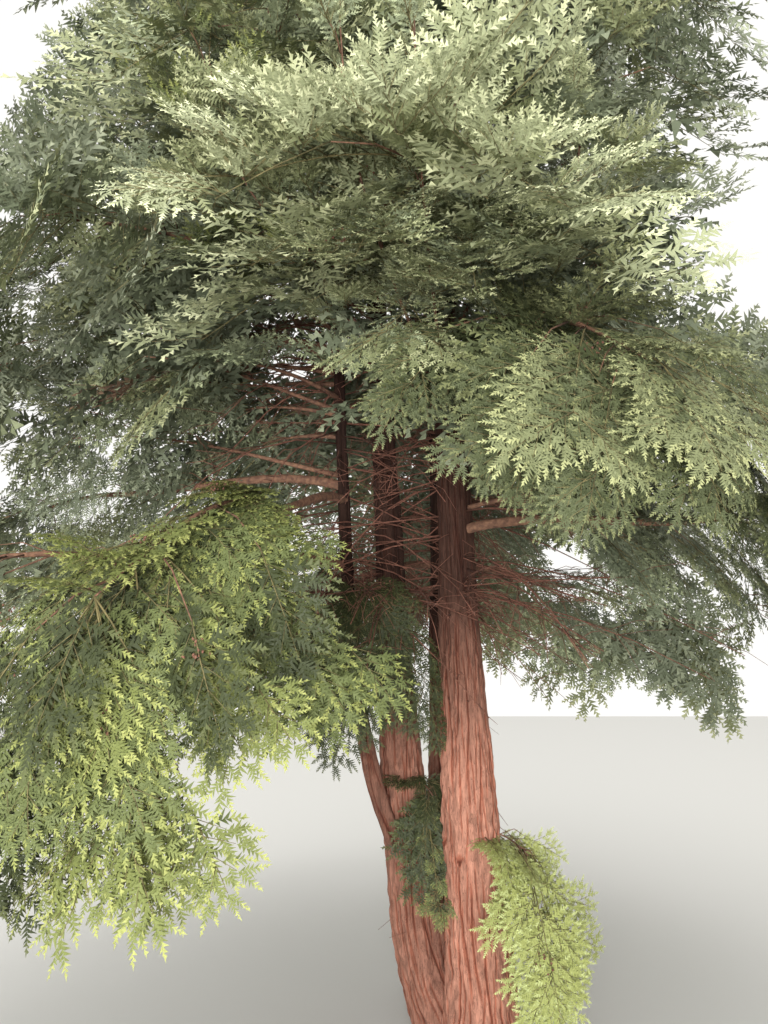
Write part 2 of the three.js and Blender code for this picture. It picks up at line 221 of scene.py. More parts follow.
def crown_reach(z, azimuth):
    climb = min(max((z - CROWN_WAIST) / (TREE_HEIGHT - CROWN_WAIST), 0), 1)
    side = math.sin(math.radians(azimuth))
    narrowing = 1 - (FRONT_SHARE if side < 0 else BACK_SHARE)
    return CROWN_RADIUS * (1 - narrowing * side**2) * (1 - climb) ** 0.8


def room_to(point, azimuth, z):
    way = heading(azimuth, 0)[:2]
    offset = point[:2] - CROWN_MIDDLE
    along = offset @ way
    across = offset @ offset - along**2
    return math.sqrt(max(crown_reach(z, azimuth) ** 2 - across, 0)) - along


def carrier_at(z, azimuth):
    way = heading(azimuth, 0)
    tall = [stem for stem in STEMS.values() if z < stem["tip"] - LEADER_ROOM]
    return max(tall, key=lambda stem: stem_axis(stem, z) @ way)


print("the crown is", round(2 * crown_reach(CROWN_WAIST, 0), 2), "m wide at", CROWN_WAIST, "m up")

# %% [markdown]
# The lower crown has bare boughs with the foliage at their ends. The two that the photograph shows
# best are the one that droops towards the lower left corner and the one that comes down steeply on
# the right. Each line here gives a bough's azimuth, the height and slope at which it leaves its
# stem, how far it falls, and how its foliage hangs.

# %% The boughs
BOUGHS = {
    "low_front_left": dict(azimuth=-112, root=2.38, pitch=4, drop=-0.22, hang=0.8, sag=0.5),
    "low_left_front": dict(azimuth=-151, root=2.05, pitch=14, drop=-0.02, hang=0.75, sag=0.25),
    "low_left": dict(azimuth=166, root=2.45, pitch=18, drop=0.02, hang=0.75, sag=0.2),
    "low_back_left": dict(azimuth=124, root=2.1, pitch=14, drop=0.0, hang=0.8, sag=0.2),
    "low_back": dict(azimuth=84, root=2.48, pitch=16, drop=0.0, hang=0.75, sag=0.2),
    "low_back_right": dict(azimuth=44, root=2.08, pitch=14, drop=0.0, hang=0.8, sag=0.2),
    "low_right": dict(azimuth=4, root=2.42, pitch=16, drop=-0.02, hang=0.8, sag=0.2),
    "low_right_front": dict(azimuth=-33, root=2.2, pitch=12, drop=-0.04, hang=0.7, sag=0.25),
    "mid_front_right": dict(azimuth=-68, root=3.28, pitch=-12, drop=-0.5, hang=0.75, sag=0.55),
    "mid_front": dict(azimuth=-99, root=3.12, pitch=28, drop=0.28, hang=0.6, sag=0.0),
    "mid_front_left": dict(azimuth=-140, root=3.4, pitch=20, drop=0.1, hang=0.78, sag=0.2),
    "mid_left": dict(azimuth=178, root=3.15, pitch=20, drop=0.1, hang=0.78, sag=0.2),
    "mid_back_left": dict(azimuth=118, root=3.42, pitch=20, drop=0.12, hang=0.78, sag=0.2),
    "mid_back": dict(azimuth=62, root=3.18, pitch=20, drop=0.1, hang=0.78, sag=0.2),
    "mid_right": dict(azimuth=12, root=3.45, pitch=20, drop=0.1, hang=0.78, sag=0.2),
}
BOUGH_RADIUS = 0.026
BOUGH_TIP_RADIUS = 0.015

masses = []
bough_lines = {}
for index, (name, bough) in enumerate(BOUGHS.items()):
    root = stem_axis(carrier_at(bough["root"], bough["azimuth"]), bough["root"])
    spray_room = SPRAY_LENGTH * (1 - 0.5 * bough["hang"])
    length = room_to(root, bough["azimuth"], bough["root"]) - spray_room - MASS_STEM
    line = limb_line(root, heading(bough["azimuth"], bough["pitch"]), length, bough["drop"], 0.05)
    bough_lines["bough_" + name] = line
    leaving = line.tangent(1)
    masses.append(dict(
        node="mass_" + name, seed=index + 1, hang=bough["hang"], outward=heading(bough["azimuth"], 0),
        line=limb_line(line.point(1), leaving, MASS_STEM, -bough["sag"], -1.5 * bough["sag"]),
        thick=BOUGH_TIP_RADIUS, twigs=5, first_twig=0.1,
    ))
print("the longest bough is", round(max(line.lengths[-1] for line in bough_lines.values()), 2), "m")

# %% [markdown]
# Higher up the foliage hides its own limbs. Nineteen masses climb the trunks by the golden angle,
# which keeps each one clear of those just above and below it. The stems' tips carry upright
# leaders, and a few short sprays sprout from the bark near the ground.

# %% The masses above, the leaders and the low sprays
UPPER_MASSES = 19
UPPER_FROM = 3.95
UPPER_TO = 8.35
CROWDING = 1.1
GOLDEN_ANGLE = 137.5
FIRST_UPPER_AZIMUTH = -100

for i in range(UPPER_MASSES):
    climb = (i / (UPPER_MASSES - 1)) ** CROWDING
    azimuth = FIRST_UPPER_AZIMUTH + GOLDEN_ANGLE * i
    height = UPPER_FROM + (UPPER_TO - UPPER_FROM) * climb
    root = stem_axis(carrier_at(height, azimuth), height)
    hang = 0.8 - 0.25 * climb
    lift = 0.12 + 0.4 * climb
    length = room_to(root, azimuth, height) - SPRAY_LENGTH * (1 - 0.4 * hang)
    masses.append(dict(
        node=f"mass_upper_{i + 1}", seed=100 + i, hang=hang, outward=heading(azimuth, 0),
        line=limb_line(root, heading(azimuth, 20 + 25 * climb), length, lift, lift - 0.3 * hang),
        thick=0.018 - 0.006 * climb, twigs=5, first_twig=0.34,
    ))

for name, stem in STEMS.items():
    foot = stem_axis(stem, stem["tip"])
    length = TREE_HEIGHT - stem["tip"] - SPRAY_LENGTH if name == "trunk_front" else 0.45
    steps = [foot + UP * length * share for share in (0, 1 / 3, 2 / 3, 1)]
    masses.append(dict(
        node="mass_top_" + name.split("_")[1], seed=200 + len(masses), hang=0, outward=None,
        line=Line(*steps), thick=stem["shaft"] * SHAFT_END, twigs=5, first_twig=0.1,
    ))

LOW_SPRAYS = {
    "low_spray_right": dict(stem="trunk_front", height=0.86, azimuth=-22, out=0.25, facing=-75, size=0.82),
    "low_spray_between": dict(stem="trunk_left", height=1.06, azimuth=-48, out=0.2, facing=-85, size=0.55),
    "low_spray_fork": dict(stem="stem_fork", height=1.95, azimuth=-60, out=0.26, facing=-75, size=0.75),
}
for index, (name, spray) in enumerate(LOW_SPRAYS.items()):
    root = stem_axis(STEMS[spray["stem"]], spray["height"])
    masses.append(dict(
        node=name, seed=300 + index, hang=1, outward=heading(spray["facing"], 0),
        line=limb_line(root, heading(spray["azimuth"], 25), spray["out"], -0.3, -1.2),
        thick=0.005, twigs=3, first_twig=0.75, size=spray["size"],
    ))
assert sorted(mass["node"] for mass in masses) == masses_in_frame
print(len(masses), "masses are laid out")

# %% [markdown]
# Now the growth rule, the same as the frame's. Twigs leave a mass's stem to the left and right in
# turn, or all round a leader, and get shorter towards its tip. Each ends in a branchlet, and
# carries a second one half way. Where the frame has one toothed blade, here stands a whole
# branchlet.

# %% The growth rule
# painted shade and light: the lower front-left mass, the middle front-right mass and two low sprays get
# darker colours, painted shade, and the middle front mass a lighter one, painted light
SHADES = {  # the masses whose sprays are all alike; elsewhere the shade depends on the place
    "mass_low_front_left": "shaded", "mass_low_left_front": "mid", "low_spray_right": "pale",
    "low_spray_between": "shaded", "low_spray_fork": "shaded", "mass_mid_front": "airy",
    "mass_mid_front_right": "leafy", "mass_upper_1": "olive",
}
# sprays are shorter where arms carry much of a mass's foliage, and where the photograph's are short
OWN_LENGTHS = {"mass_low_front_left": 0.62, "mass_mid_front_right": 0.85, "low_spray_right": 0.88}
LAST_TWIG = 0.88
TWIG_THICKNESS = 0.009
TWIG_OPENING = (50, 68)  # degrees between a twig and its stem
OPENING_LOSS = 14  # towards the tip
INNER_AT = 0.45  # where on its twig the second branchlet stands
INNER_SIZE = 0.9
twig_paths = []  # (root, end, thickness at the root)
branchlets = []  # dict(shade, root, along, face, length, nod)


def add_branchlet(mass, root, along, face, length, nod):
    branchlets.append(dict(
        shade=mass.get("shade"), root=root, along=unit(along), face=unit(face), length=length, nod=nod,
    ))


def grow(mass):
    row = number_row(mass["seed"])
    size = mass.get("size", 1)
    line, hang, outward = mass["line"], mass["hang"], mass["outward"]
    for i in range(mass["twigs"]):
        t = mass["first_twig"] + (LAST_TWIG - mass["first_twig"]) * i / (mass["twigs"] - 1)
        opening = math.radians(between(row, *TWIG_OPENING) - OPENING_LOSS * t)
        twig_length = TWIG_LENGTH * size**3 * between(row, 0.85, 1.15) * (1 - 0.4 * t)
        blade_length = SPRAY_LENGTH * size * mass["length"] * between(row, 0.88, 1.12)
        roll = between(row, -0.3, 0.3)
        nod = between(row, 0.05, 0.14)
        stem = line.tangent(t)
        if outward is None:
            turn = math.radians(GOLDEN_ANGLE * i)
            first = unit(np.cross(stem, (1, 0, 0)))
            side = first * math.cos(turn) + np.cross(stem, first) * math.sin(turn)
        else:
            side = unit(np.cross(stem, UP)) * (-1 if i % 2 else 1)
        along = unit(stem * math.cos(opening) + side * math.sin(opening) - UP * 0.45 * hang)
        root = line.point(t)
        end = root + along * twig_length
        twig_paths.append((root, end, TWIG_THICKNESS * size**2))
        face = UP * (1 - hang) + (side if outward is None else outward) * max(hang, 0.3) + side * roll
        add_branchlet(mass, end, unit(along - UP * 0.9 * hang), face, blade_length, nod)
        if outward is None or "size" in mass or i == mass["twigs"] - 1:
            continue
        inner = unit(along + stem * 0.8 - UP * 1.5 * hang)
        add_branchlet(mass, root + INNER_AT * (end - root), inner, face, blade_length * INNER_SIZE, nod)
    last = unit(line.tangent(1) - UP * hang)
    face = np.array([0.0, -1.0, 0.0]) if outward is None else UP * (1 - hang) + outward * hang
    add_branchlet(mass, line.point(1), last, face, SPRAY_LENGTH * size * mass["length"], 0.08)


for mass in masses:
    mass["shade"] = SHADES.get(mass["node"])
    mass["length"] = OWN_LENGTHS.get(mass["node"], 1)
    grow(mass)
print(len(twig_paths), "twigs and", len(branchlets), "branchlets stand where the frame has its blades")

# %% [markdown]
# The frame's few twigs leave room between them. A second row of numbers grows more of the same kind
# there, slimmer and a little shorter. On some masses in front they droop less or rise, because the
# photograph shows their sprays reaching up.

# %% The extra twigs
EXTRA_TWIGS = 8
LOW_SPRAY_TWIGS = 8
EXTRA_THICKNESS = 0.006
EXTRA_DROOP = (0.35, 1.0)  # shares of the mass's own
RISING_DROOP = (-0.4, 0.5)
EXTRA_OPENING = (35, 62)
RISING = ("mass_mid_front", "mass_mid_front_left", "mass_upper_1", "mass_upper_6", "mass_upper_9")


def side_of(stem, turn):
    """A direction square to a limb, turned about it by so many degrees from level."""
    level = np.cross(stem, UP if abs(stem[2]) < 0.95 else (1, 0, 0))
    first = unit(level)
    turn = math.radians(turn)
    return first * math.cos(turn) + np.cross(stem, first) * math.sin(turn)


def thicken(mass, row, count, first, last, scale):
    """Grows this many more twigs, each with two branchlets, between two places on a limb."""
    line = mass["line"]
    for i in range(count):
        hang = mass["hang"] * between(row, *mass.get("droop", EXTRA_DROOP))
        t = first + (last - first) * (i + between(row, 0.2, 0.8)) / count
        stem = line.tangent(t)
        all_round = mass["outward"] is None
        side = side_of(stem, GOLDEN_ANGLE * i if all_round else between(row, -35, 35) + 180 * (i % 2))
        outward = side if all_round else mass["outward"]
        opening = math.radians(between(row, *EXTRA_OPENING))
        along = unit(stem * math.cos(opening) + side * math.sin(opening) - UP * 0.3 * hang)
        root = line.point(t)
        end = root + along * TWIG_LENGTH * scale * between(row, 0.4, 0.85) * (1 - 0.4 * t)
        twig_paths.append((root, end, EXTRA_THICKNESS * mass.get("size", 1) ** 2))
        face = UP * (1 - hang) + outward * max(hang, 0.3) + side * between(row, -0.5, 0.5)
        length = SPRAY_LENGTH * scale * between(row, 0.62, 0.88)
        nod = between(row, 0.05, 0.16)
        add_branchlet(mass, end, along - UP * between(row, 0.2, 0.9) * hang, face, length, nod)
        inner = along + stem * 0.5 - UP * between(row, 0.4, 1.3) * hang
        add_branchlet(mass, root + 0.4 * (end - root), inner, face, length * 0.85, nod)


for mass in masses:
    row = number_row(1000 + mass["seed"])
    if "size" in mass:
        thicken(mass, row, LOW_SPRAY_TWIGS, 0.05, 0.98, 0.5 * mass["size"])
    elif mass["node"] in RISING:
        thicken(dict(mass, droop=RISING_DROOP), row, EXTRA_TWIGS, 0.05, 0.95, 1.0)
    elif mass["node"] != "mass_low_front_left":
        thicken(mass, row, EXTRA_TWIGS, 0.05, 0.95, 1.0)
print(len(twig_paths), "twigs and", len(branchlets), "branchlets after the extra ones")

# %% [markdown]
# The boughs carry sprays along their outer half, and between the masses many slimmer limbs leave
# the stems. Solids of those would only crowd the frame, but without them one could look through the
# crown. Most stand all round the tree, and a few more fill its front, its sides and the back left.
# They start where the photograph has the crown's lower edge, a good two metres up, and stay well
# inside the outline.

# %% The slim limbs between the masses
BOUGH_TWIGS = 6
SLIM_LIMBS = 66
FRONT_LIMBS = 12
FRONT_FROM, FRONT_RISE = 2.85, 2.4
FRONT_AZIMUTH, FRONT_SWING = -95, 38  # in degrees
FRONT_TURN = 2.4  # radians from one limb to the next, as they swing to and fro
FRONT_TWIGS = 6
ROUND_LIMBS = (  # how many, first seed, lowest, rise, azimuth, over how many degrees, shortest, longest
    (18, 2600, 2.3, 1.2, -25, 235, 0.3, 0.85),
    (9, 2650, 2.9, 1.5, 95, 75, 0.25, 0.8),
)
GOLDEN_SHARE = 0.618
SLIM_FROM = 2.8
SLIM_TO = 8.4
SLIM_CROWDING = 1.45
SLIM_TWIGS = 5
SLIM_DROOP = (-0.3, 0.8)
slim_limbs = []

for mass, line in zip(masses, bough_lines.values()):
    if mass["node"] != "mass_low_front_left":
        thicken(dict(mass, line=line), number_row(1500 + mass["seed"]), BOUGH_TWIGS, 0.42, 0.98, 0.85)


def grow_slim_limb(row, azimuth, height, shortest, longest, twigs):
    """One slim limb with its sprays, from the stem that stands furthest out on that side."""
    climb = (height - SLIM_FROM) / (SLIM_TO - SLIM_FROM)
    root = stem_axis(carrier_at(height, azimuth), height)
    hang = 0.85 - 0.3 * climb
    lift = between(row, -0.1, 0.2) + 0.35 * climb
    room = room_to(root, azimuth, height) - SPRAY_LENGTH * 0.9
    length = max(room, 0.3) * between(row, shortest, longest)
    slim = dict(
        hang=hang, outward=heading(azimuth, 0), thick=0.014 - 0.005 * climb, droop=SLIM_DROOP,
        line=limb_line(root, heading(azimuth, 15 + 25 * climb), length, lift, lift - 0.3 * hang),
    )
    slim_limbs.append(slim)
    thicken(slim, row, twigs, 0.25, 0.95, 1.0)
    tip = unit(slim["line"].tangent(1) - UP * hang)
    face = UP * (1 - hang) + slim["outward"] * hang
    add_branchlet(slim, slim["line"].point(1), tip, face, SPRAY_LENGTH * 0.85, 0.1)


for index in range(SLIM_LIMBS):
    climb = (index / (SLIM_LIMBS - 1)) ** SLIM_CROWDING
    height = SLIM_FROM + (SLIM_TO - SLIM_FROM) * climb
    grow_slim_limb(number_row(2000 + index), 35 + GOLDEN_ANGLE * index, height, 0.3, 0.95, SLIM_TWIGS)
for index in range(FRONT_LIMBS):
    height = FRONT_FROM + FRONT_RISE * index / FRONT_LIMBS
    turn = FRONT_AZIMUTH + FRONT_SWING * math.sin(FRONT_TURN * index)
    grow_slim_limb(number_row(2500 + index), turn, height, 0.15, 0.75, FRONT_TWIGS)
for count, seed, lowest, rise, azimuth, over, shortest, longest in ROUND_LIMBS:
    for index in range(count):
        height = lowest + rise * index / count
        turn = azimuth + over * (GOLDEN_SHARE * index % 1)
        grow_slim_limb(number_row(seed + index), turn, height, shortest, longest, SLIM_TWIGS)
print(len(slim_limbs), "slim limbs bring the branchlets to", len(branchlets))

# %% [markdown]
# Where light reaches in from the front, side arms stand out from the masses: the big one at the
# lower left, the one in the middle of the photograph and the one to the right of that. Each arm
# carries flat fans along most of its length and ends in an open hand of three, and the hands hang
# over each other in tiers, like shingles. An arm is given by the share of the mass's stem where it
# leaves, the place of its tip, how steeply its fans hang, and their shade. Fans that hang less than
# nothing rise.

# %% The arms in the light
# painted light and shade: the arm in the shaded colour gets painted shade, the sunny ones painted light,
# and the bright ones are partly fresh growth, partly painted light
ARMS = {
    "mass_low_front_left": [
        (0.00, (-0.86, -0.80, 2.18), -0.05, "bright"), (0.00, (-0.97, -0.95, 2.07), 0.15, "fresh"),
        (0.00, (-0.76, -0.90, 2.08), 0.15, "fresh"), (0.20, (-0.93, -1.05, 1.97), 0.30, "fresh"),
        (0.40, (-1.00, -1.15, 1.87), 0.45, "fresh"),
        (0.55, (-1.62, -1.10, 1.69), 0.45, "fresh"), (0.75, (-1.26, -1.25, 1.70), 0.50, "fresh"),
        (0.30, (-0.56, -1.12, 1.67), 0.20, "fresh"), (0.40, (-0.69, -1.20, 1.66), 0.50, "fresh"),
        (0.70, (-0.79, -1.42, 1.56), 0.50, "bright"), (0.80, (-1.11, -1.38, 1.60), 0.50, "fresh"),
        (1.00, (-1.39, -1.42, 1.38), 0.45, "fresh"), (1.00, (-1.15, -1.45, 1.40), 0.45, "fresh"),
        (1.00, (-1.11, -1.50, 1.23), 0.50, "bright"), (1.00, (-0.92, -1.50, 1.23), 0.50, "bright"),
        (0.95, (-1.43, -1.35, 1.19), 0.45, "shaded"),
    ],
    "mass_mid_front": [
        (0.30, (-0.66, -1.10, 3.05), 0.50, "olive"), (0.45, (-0.12, -1.15, 2.98), 0.55, "olive"),
        (0.70, (-0.46, -1.30, 3.00), 0.50, "olive"), (0.90, (-0.86, -1.32, 3.17), -0.05, "olive"),
        (0.15, (-0.36, -1.00, 2.80), 0.60, "olive"), (0.60, (0.14, -1.10, 3.15), 0.50, "olive"),
        (0.90, (-0.90, -1.22, 3.40), -0.25, "olive"), (0.50, (-1.00, -1.15, 3.14), -0.20, "olive"),
    ],
    "mass_mid_front_right": [
        (0.60, (0.12, -1.50, 2.30), 0.85, "sunny"), (0.95, (0.47, -1.45, 2.34), 0.75, "sunny"),
        (0.60, (0.76, -1.25, 2.40), 0.60, "sunny"),
    ],
    "low_spray_between": [(0.60, (-0.19, -0.10, 0.60), 0.90, "fresh")],
}
ARM_FANS = 7
ARM_FANS_FROM, ARM_FANS_TO = 0.15, 0.9
FAN_OPENING = (30, 58)
FAN_NOD = (0.10, 0.22)
ARM_THICKNESS = 0.0035
ARM_ARCH = 0.06
FAN_LENGTH = 0.37
COVER_FANS = 10
HAND = (0.0, 1.0, -1.0)  # how far the fans of a hand lean to the side
arm_lines = []


def grow_arm(mass, share, tip, hang, shade, row):
    """A side arm with flat fans, most of them on the side that falls, and a hand at its tip."""
    root, tip = mass["line"].point(share), np.array(tip)
    reach = tip - root
    arch = UP * ARM_ARCH
    line = Line(root, root + 0.3 * reach + arch, root + 0.7 * reach + arch, tip)
    arm_lines.append(line)
    arm = dict(mass, shade=shade)
    face = UP * (1 - 0.6 * hang) + mass["outward"] * (0.3 + 0.7 * hang)
    fall = unit(mass["outward"] - UP * 2 * hang)
    size = FAN_LENGTH * mass.get("size", 1) ** 2
    for i in range(ARM_FANS):
        t = ARM_FANS_FROM + (ARM_FANS_TO - ARM_FANS_FROM) * i / (ARM_FANS - 1)
        stem = line.tangent(t)
        side = unit(np.cross(stem, face))
        falling = side @ fall
        if (abs(falling) > 0.5 and falling < 0 and i % 3 < 2) or (abs(falling) <= 0.5 and i % 2):
            side = -side
        opening = math.radians(between(row, *FAN_OPENING))
        along = stem * math.cos(opening) + side * math.sin(opening) + fall * 0.5
        normal = face + side * between(row, -0.25, 0.25)
        length, nod = size * between(row, 0.7, 1.05), between(row, *FAN_NOD)
        add_branchlet(arm, line.point(t), along, normal, length, nod)
    across = unit(np.cross(face, fall))
    for lean in HAND:
        along = (1.2 - 2 * hang) * line.tangent(1) + fall + across * (lean + between(row, -0.15, 0.15))
        normal = face + across * between(row, -0.2, 0.2)
        add_branchlet(arm, tip, along, normal, size * between(row, 0.85, 1.05), between(row, *FAN_NOD))


def cover_stem(mass, row):
    """Fans that lie over the mass's own stem, where the arms leave it."""
    for i in range(COVER_FANS):
        t = i / (COVER_FANS - 1)
        sideways = mass["line"].tangent(t) * between(row, -0.9, 0.9)
        along = mass["outward"] + sideways + UP * between(row, -0.7, -0.1)
        root = mass["line"].point(t) + UP * between(row, 0, 0.05)
        length = FAN_LENGTH * between(row, 0.8, 1.1)
        add_branchlet(mass, root, along, UP + 0.5 * mass["outward"], length, 0.2)


for node, arms in ARMS.items():
    carrier = next(mass for mass in masses if mass["node"] == node)
    for index, arm in enumerate(arms):
        grow_arm(carrier, *arm, number_row(2700 + 20 * carrier["seed"] + index))
    if "size" not in carrier:
        cover_stem(dict(carrier, shade=arms[0][3]), number_row(2690 + carrier["seed"]))
print(sum(map(len, ARMS.values())), "arms bring the branchlets to", len(branchlets))

# %% [markdown]
# In front, a few limbs turn up at their ends and carry upright sprays, like little trees of their
# own. The photograph shows some high in its middle, and others to the left and right of them.

# %% The upturned limbs
UPTURNED_LIMBS = [  # the place of the tip, and the size of its sprays
    ((-0.32, -1.42, 3.68), 0.35), ((-0.57, -1.35, 3.74), 0.42), ((-1.10, -1.00, 3.90), 0.60),
    ((-0.85, -0.95, 3.70), 0.50), ((0.34, -0.95, 3.62), 0.50),
]
UPTURNED_SPRAYS = 10


def grow_upturned_limb(tip, size, row):
    tip = np.array(tip)
    root = stem_axis(STEMS["trunk_front"], tip[2] - 0.95)
    flat = (tip - root) * (1, 1, 0)
    line = Line(root, root + 0.5 * flat + UP * 0.2, root + flat + UP * 0.35, tip)
    limb = dict(hang=0.0, outward=None, thick=0.011, line=line, shade="fresh" if size > 0.5 else "olive")
    slim_limbs.append(limb)
    thicken(limb, row, UPTURNED_SPRAYS, 0.4, 0.97, size)
    add_branchlet(limb, tip, UP, np.array([0.0, -1.0, 0.0]), 0.7 * size, 0.04)


for index, (tip, size) in enumerate(UPTURNED_LIMBS):
    grow_upturned_limb(tip, size, number_row(2800 + index))
print(len(UPTURNED_LIMBS), "upturned limbs bring the branchlets to", len(branchlets))

# %% [markdown]
# A branchlet of western red cedar is a flat spray of smaller sprays, here called fronds. A frond
# has an axis with short shoots to the left and right, which run together at the axis and point
# forward, like the teeth of a saw. A few frond patterns are made once, one metre long, and then
# copied thousands of times from arrays of numbers, each with its own place, direction, tilt and
# length. Close to the camera a shoot has a tooth of its own, and further away it is a single slim
# triangle, so that the faces are spent where they show. At the back a frond has only a few shoots.

# %% Frond patterns
PATTERNS = 6
TOOTH_ANGLE = math.radians(34)
TOOTH_LENGTH = 0.42
TOOTH_FOOT = (0.18, 0.48)  # where a tooth stands on its shoot
TOOTH_STEP = 0.22
INNER_SHARE = 0.5
FROND_BEND = 0.15
PAIRS_OVER = 0.86  # the share of its axis along which a frond has shoots
SHOOT_OPENING = (42, 54)
SHOOT_OPENING_LOSS = 18
SHOOT_LIFT = 0.3
TIP_START, TIP_HALF_WIDTH = 0.84, 0.03  # the triangle that ends it
TIP_NOD, SIDE_NOD = 0.10, 0.30


def axis_point(s, bend):
    return np.array([s, bend * s**2, 0.0])


def add_triangle(part, *corners):
    points, faces = part
    faces.append((len(points), len(points) + 1, len(points) + 2))
    points.extend(corners)


def add_shoot(part, foot, step, side, turn, length, lift, teeth):
    """One shoot: a slim triangle on the frond's axis, with its own forward teeth where they show."""
    way = np.array([math.cos(turn), side * math.sin(turn), 0.0])
    tip = foot + way * length + (0, 0, lift * length)
    ahead = foot + (step, 0, 0)
    add_triangle(part, *((foot, ahead, tip) if side > 0 else (ahead, foot, tip)))
    for k in range(teeth):
        low, high = (foot + (tip - foot) * (share + TOOTH_STEP * k) for share in TOOTH_FOOT)
        leaning = turn + (TOOTH_ANGLE if k % 2 else -TOOTH_ANGLE)
        end = low + np.array([math.cos(leaning), side * math.sin(leaning), lift]) * length * TOOTH_LENGTH
        add_triangle(part, *((low, high, end) if (k % 2) == (side > 0) else (high, low, end)))


def frond_pattern(seed, pairs, teeth, reach):
    """A frond in two parts, the older inner shoots and the fresh outer ones, as points and faces."""
    row = number_row(seed)
    inner, outer = ([], []), ([], [])
    bend = between(row, -FROND_BEND, FROND_BEND)
    step = PAIRS_OVER / pairs
    for i in range(pairs):
        for side in (1, -1):
            s = step * (i + (0.5 if side > 0 else 0))
            turn = math.radians(between(row, *SHOOT_OPENING) - SHOOT_OPENING_LOSS * s)
            length = reach * (1 - s) ** 0.7 * min(1, 0.55 + 2.5 * s) * between(row, 0.8, 1.15)
            part = inner if s < INNER_SHARE else outer
            lift = between(row, -SHOOT_LIFT, SHOOT_LIFT)
            add_shoot(part, axis_point(s, bend), 0.95 * step, side, turn, length, lift, teeth)
    foot, half = axis_point(TIP_START, bend), np.array([0, TIP_HALF_WIDTH, 0])
    add_triangle(outer, foot - half, axis_point(1, bend), foot + half)
    return [(curled(points), np.array(faces)) for points, faces in (inner, outer)]


def curled(points):
    """Lets a flat frond nod at its tip and at its sides."""
    points = np.array(points)
    points[:, 2] -= TIP_NOD * points[:, 0] ** 2 + SIDE_NOD * points[:, 1] ** 2
    return points


DETAIL = {  # pairs of shoots, teeth on each, and how long the shoots are
    "near": (7, 1, 0.36), "middle": (6, 0, 0.40), "far": (5, 0, 0.44), "back": (3, 0, 0.50),
}
patterns = {
    detail: [frond_pattern(40 + k, *numbers) for k in range(PATTERNS)] for detail, numbers in DETAIL.items()
}
for detail, made in patterns.items():
    print("a", detail, "frond has", sum(len(part[1]) for part in made[0]), "faces")

# %% [markdown]
# Next, the fronds are placed. A branchlet is a fan: side branches stand off its axis to the left
# and right, longest near its foot, and each branch carries its fronds in the same way. Each step is
# tilted a little out of the fan, as real sprays overlap like shingles, and a long branchlet close
# to the camera carries whole fans. High up, the side branches rise to the light, most of all where
# the photograph shows them. How many fronds there are, and how fine, depends on how well the place
# shows in it. Their shade depends on where they grow, and in each fan the fronds along the edge are
# fresher and finer than those at its foot, which they cover. The darker colour at the foot is painted
# shade of the fronds over it, and the dark colours inside the crown are painted shade as well. A few
# sprays inside have dried.

# %% Placing the fronds
DETAIL_REACH = {"near": 2.5, "middle": 4.1, "far": 5.8}  # metres from the eye
# how many side branches a fan has, how many fronds each of them has, and how much longer these are
BRANCHES_EACH = {"near": 8, "middle": 8, "far": 7, "back": 5}
FRONDS_EACH = {"near": 5, "middle": 6, "far": 5, "back": 4}
FROND_GROWTH = {"near": 1.3, "middle": 1.1, "far": 1.15, "back": 1.3}
# how far a side branch turns out of its fan
TILT = {"near": 0.10, "middle": 0.18, "far": 0.28, "back": 0.35}
# where the side branches stand on a branchlet, how they open, and how long they are, in shares of it
FIRST_BRANCH, BRANCHES_OVER, END_BRANCH = 0.04, 0.52, 0.58
BRANCH_OPENING = (40, 54)
BRANCH_OPENING_LOSS = 26
BRANCH_SIZE, BRANCH_SIZE_LOSS, END_SIZE = 0.50, 0.14, 0.43
FRAME_MARGIN = 1.1
LONGEST_FAN = 0.52  # a longer branchlet close to the camera is made of this many fans
FANS_EACH = 6
# above this height the side branches, and the fronds on them, point upwards by so much
RISE_FROM = 2.9
RISE = {"near": 0.7, "middle": 0.7, "far": 0.6, "back": 0.2}
FROND_RISE = {"near": 0.25, "middle": 0.25, "far": 0.2, "back": 0.0}
GROUND_CLEARANCE = 0.03  # no frond reaches lower than this
EDGE_FROM = 0.5  # how far out on its fan a frond's tip counts as the fresh edge
# painted shade: the fronds at a fan's foot, under the others, take the darker colour given here
FOOT_PAINTED_SHADES = {
    "bright": "fresh", "fresh": "shaded", "olive": "mid", "mid": "deep", "grey": "mid", "sunny": "leafy",
    "leafy": "shaded", "airy": "olive",
}
# shares of the crown's reach, inside which the sprays take the darker colours of painted shade, or hardly
# show
SHADED_INSIDE = 0.4
HIDDEN_INSIDE = 0.55
GREY_FROM = 3.1  # the height above which part of the sprays look greyer
BEHIND = 0.9  # what stands further back than this hardly shows
CROWN_EDGE = 2.6  # the sprays at the crown's lower edge stand free, so they are finer
placed = {}  # (shade, detail) to a list of (root, along, side, over, length, pattern)
into_camera = np.array(camera.rotation_euler.to_matrix().transposed())


def in_frame(place):
    """Whether a place lies within the camera's frame, or just outside it."""
    across, up, back = into_camera @ (place - np.array(EYE))
    share = 2 * FOCAL_PIXELS * max(abs(across) / PHOTO_WIDTH, abs(up) / PHOTO_HEIGHT)
    return back < 0 and share < -back * FRAME_MARGIN


def inside_share(place):
    """How far out a place is, from 0 at the middle of the crown to 1 at its outline."""
    offset = place[:2] - CROWN_MIDDLE
    reach = crown_reach(place[2], math.degrees(math.atan2(offset[1], offset[0])))
    return np.linalg.norm(offset) / max(reach, 0.3)


def shade_of(branchlet, row):
    pick = next(row)
    if branchlet["shade"]:
        return branchlet["shade"]
    # painted shade: inside the crown most sprays take the dark deep colour
    if inside_share(branchlet["root"]) < SHADED_INSIDE:
        return "deep" if pick < 0.78 else "mid" if pick < 0.975 else "dry"
    if branchlet["root"][2] > GREY_FROM:
        return "grey" if pick < 0.4 else "olive" if pick < 0.6 else "mid" if pick < 0.8 else "deep"
    return "olive" if pick < 0.4 else "mid" if pick < 0.75 else "deep"


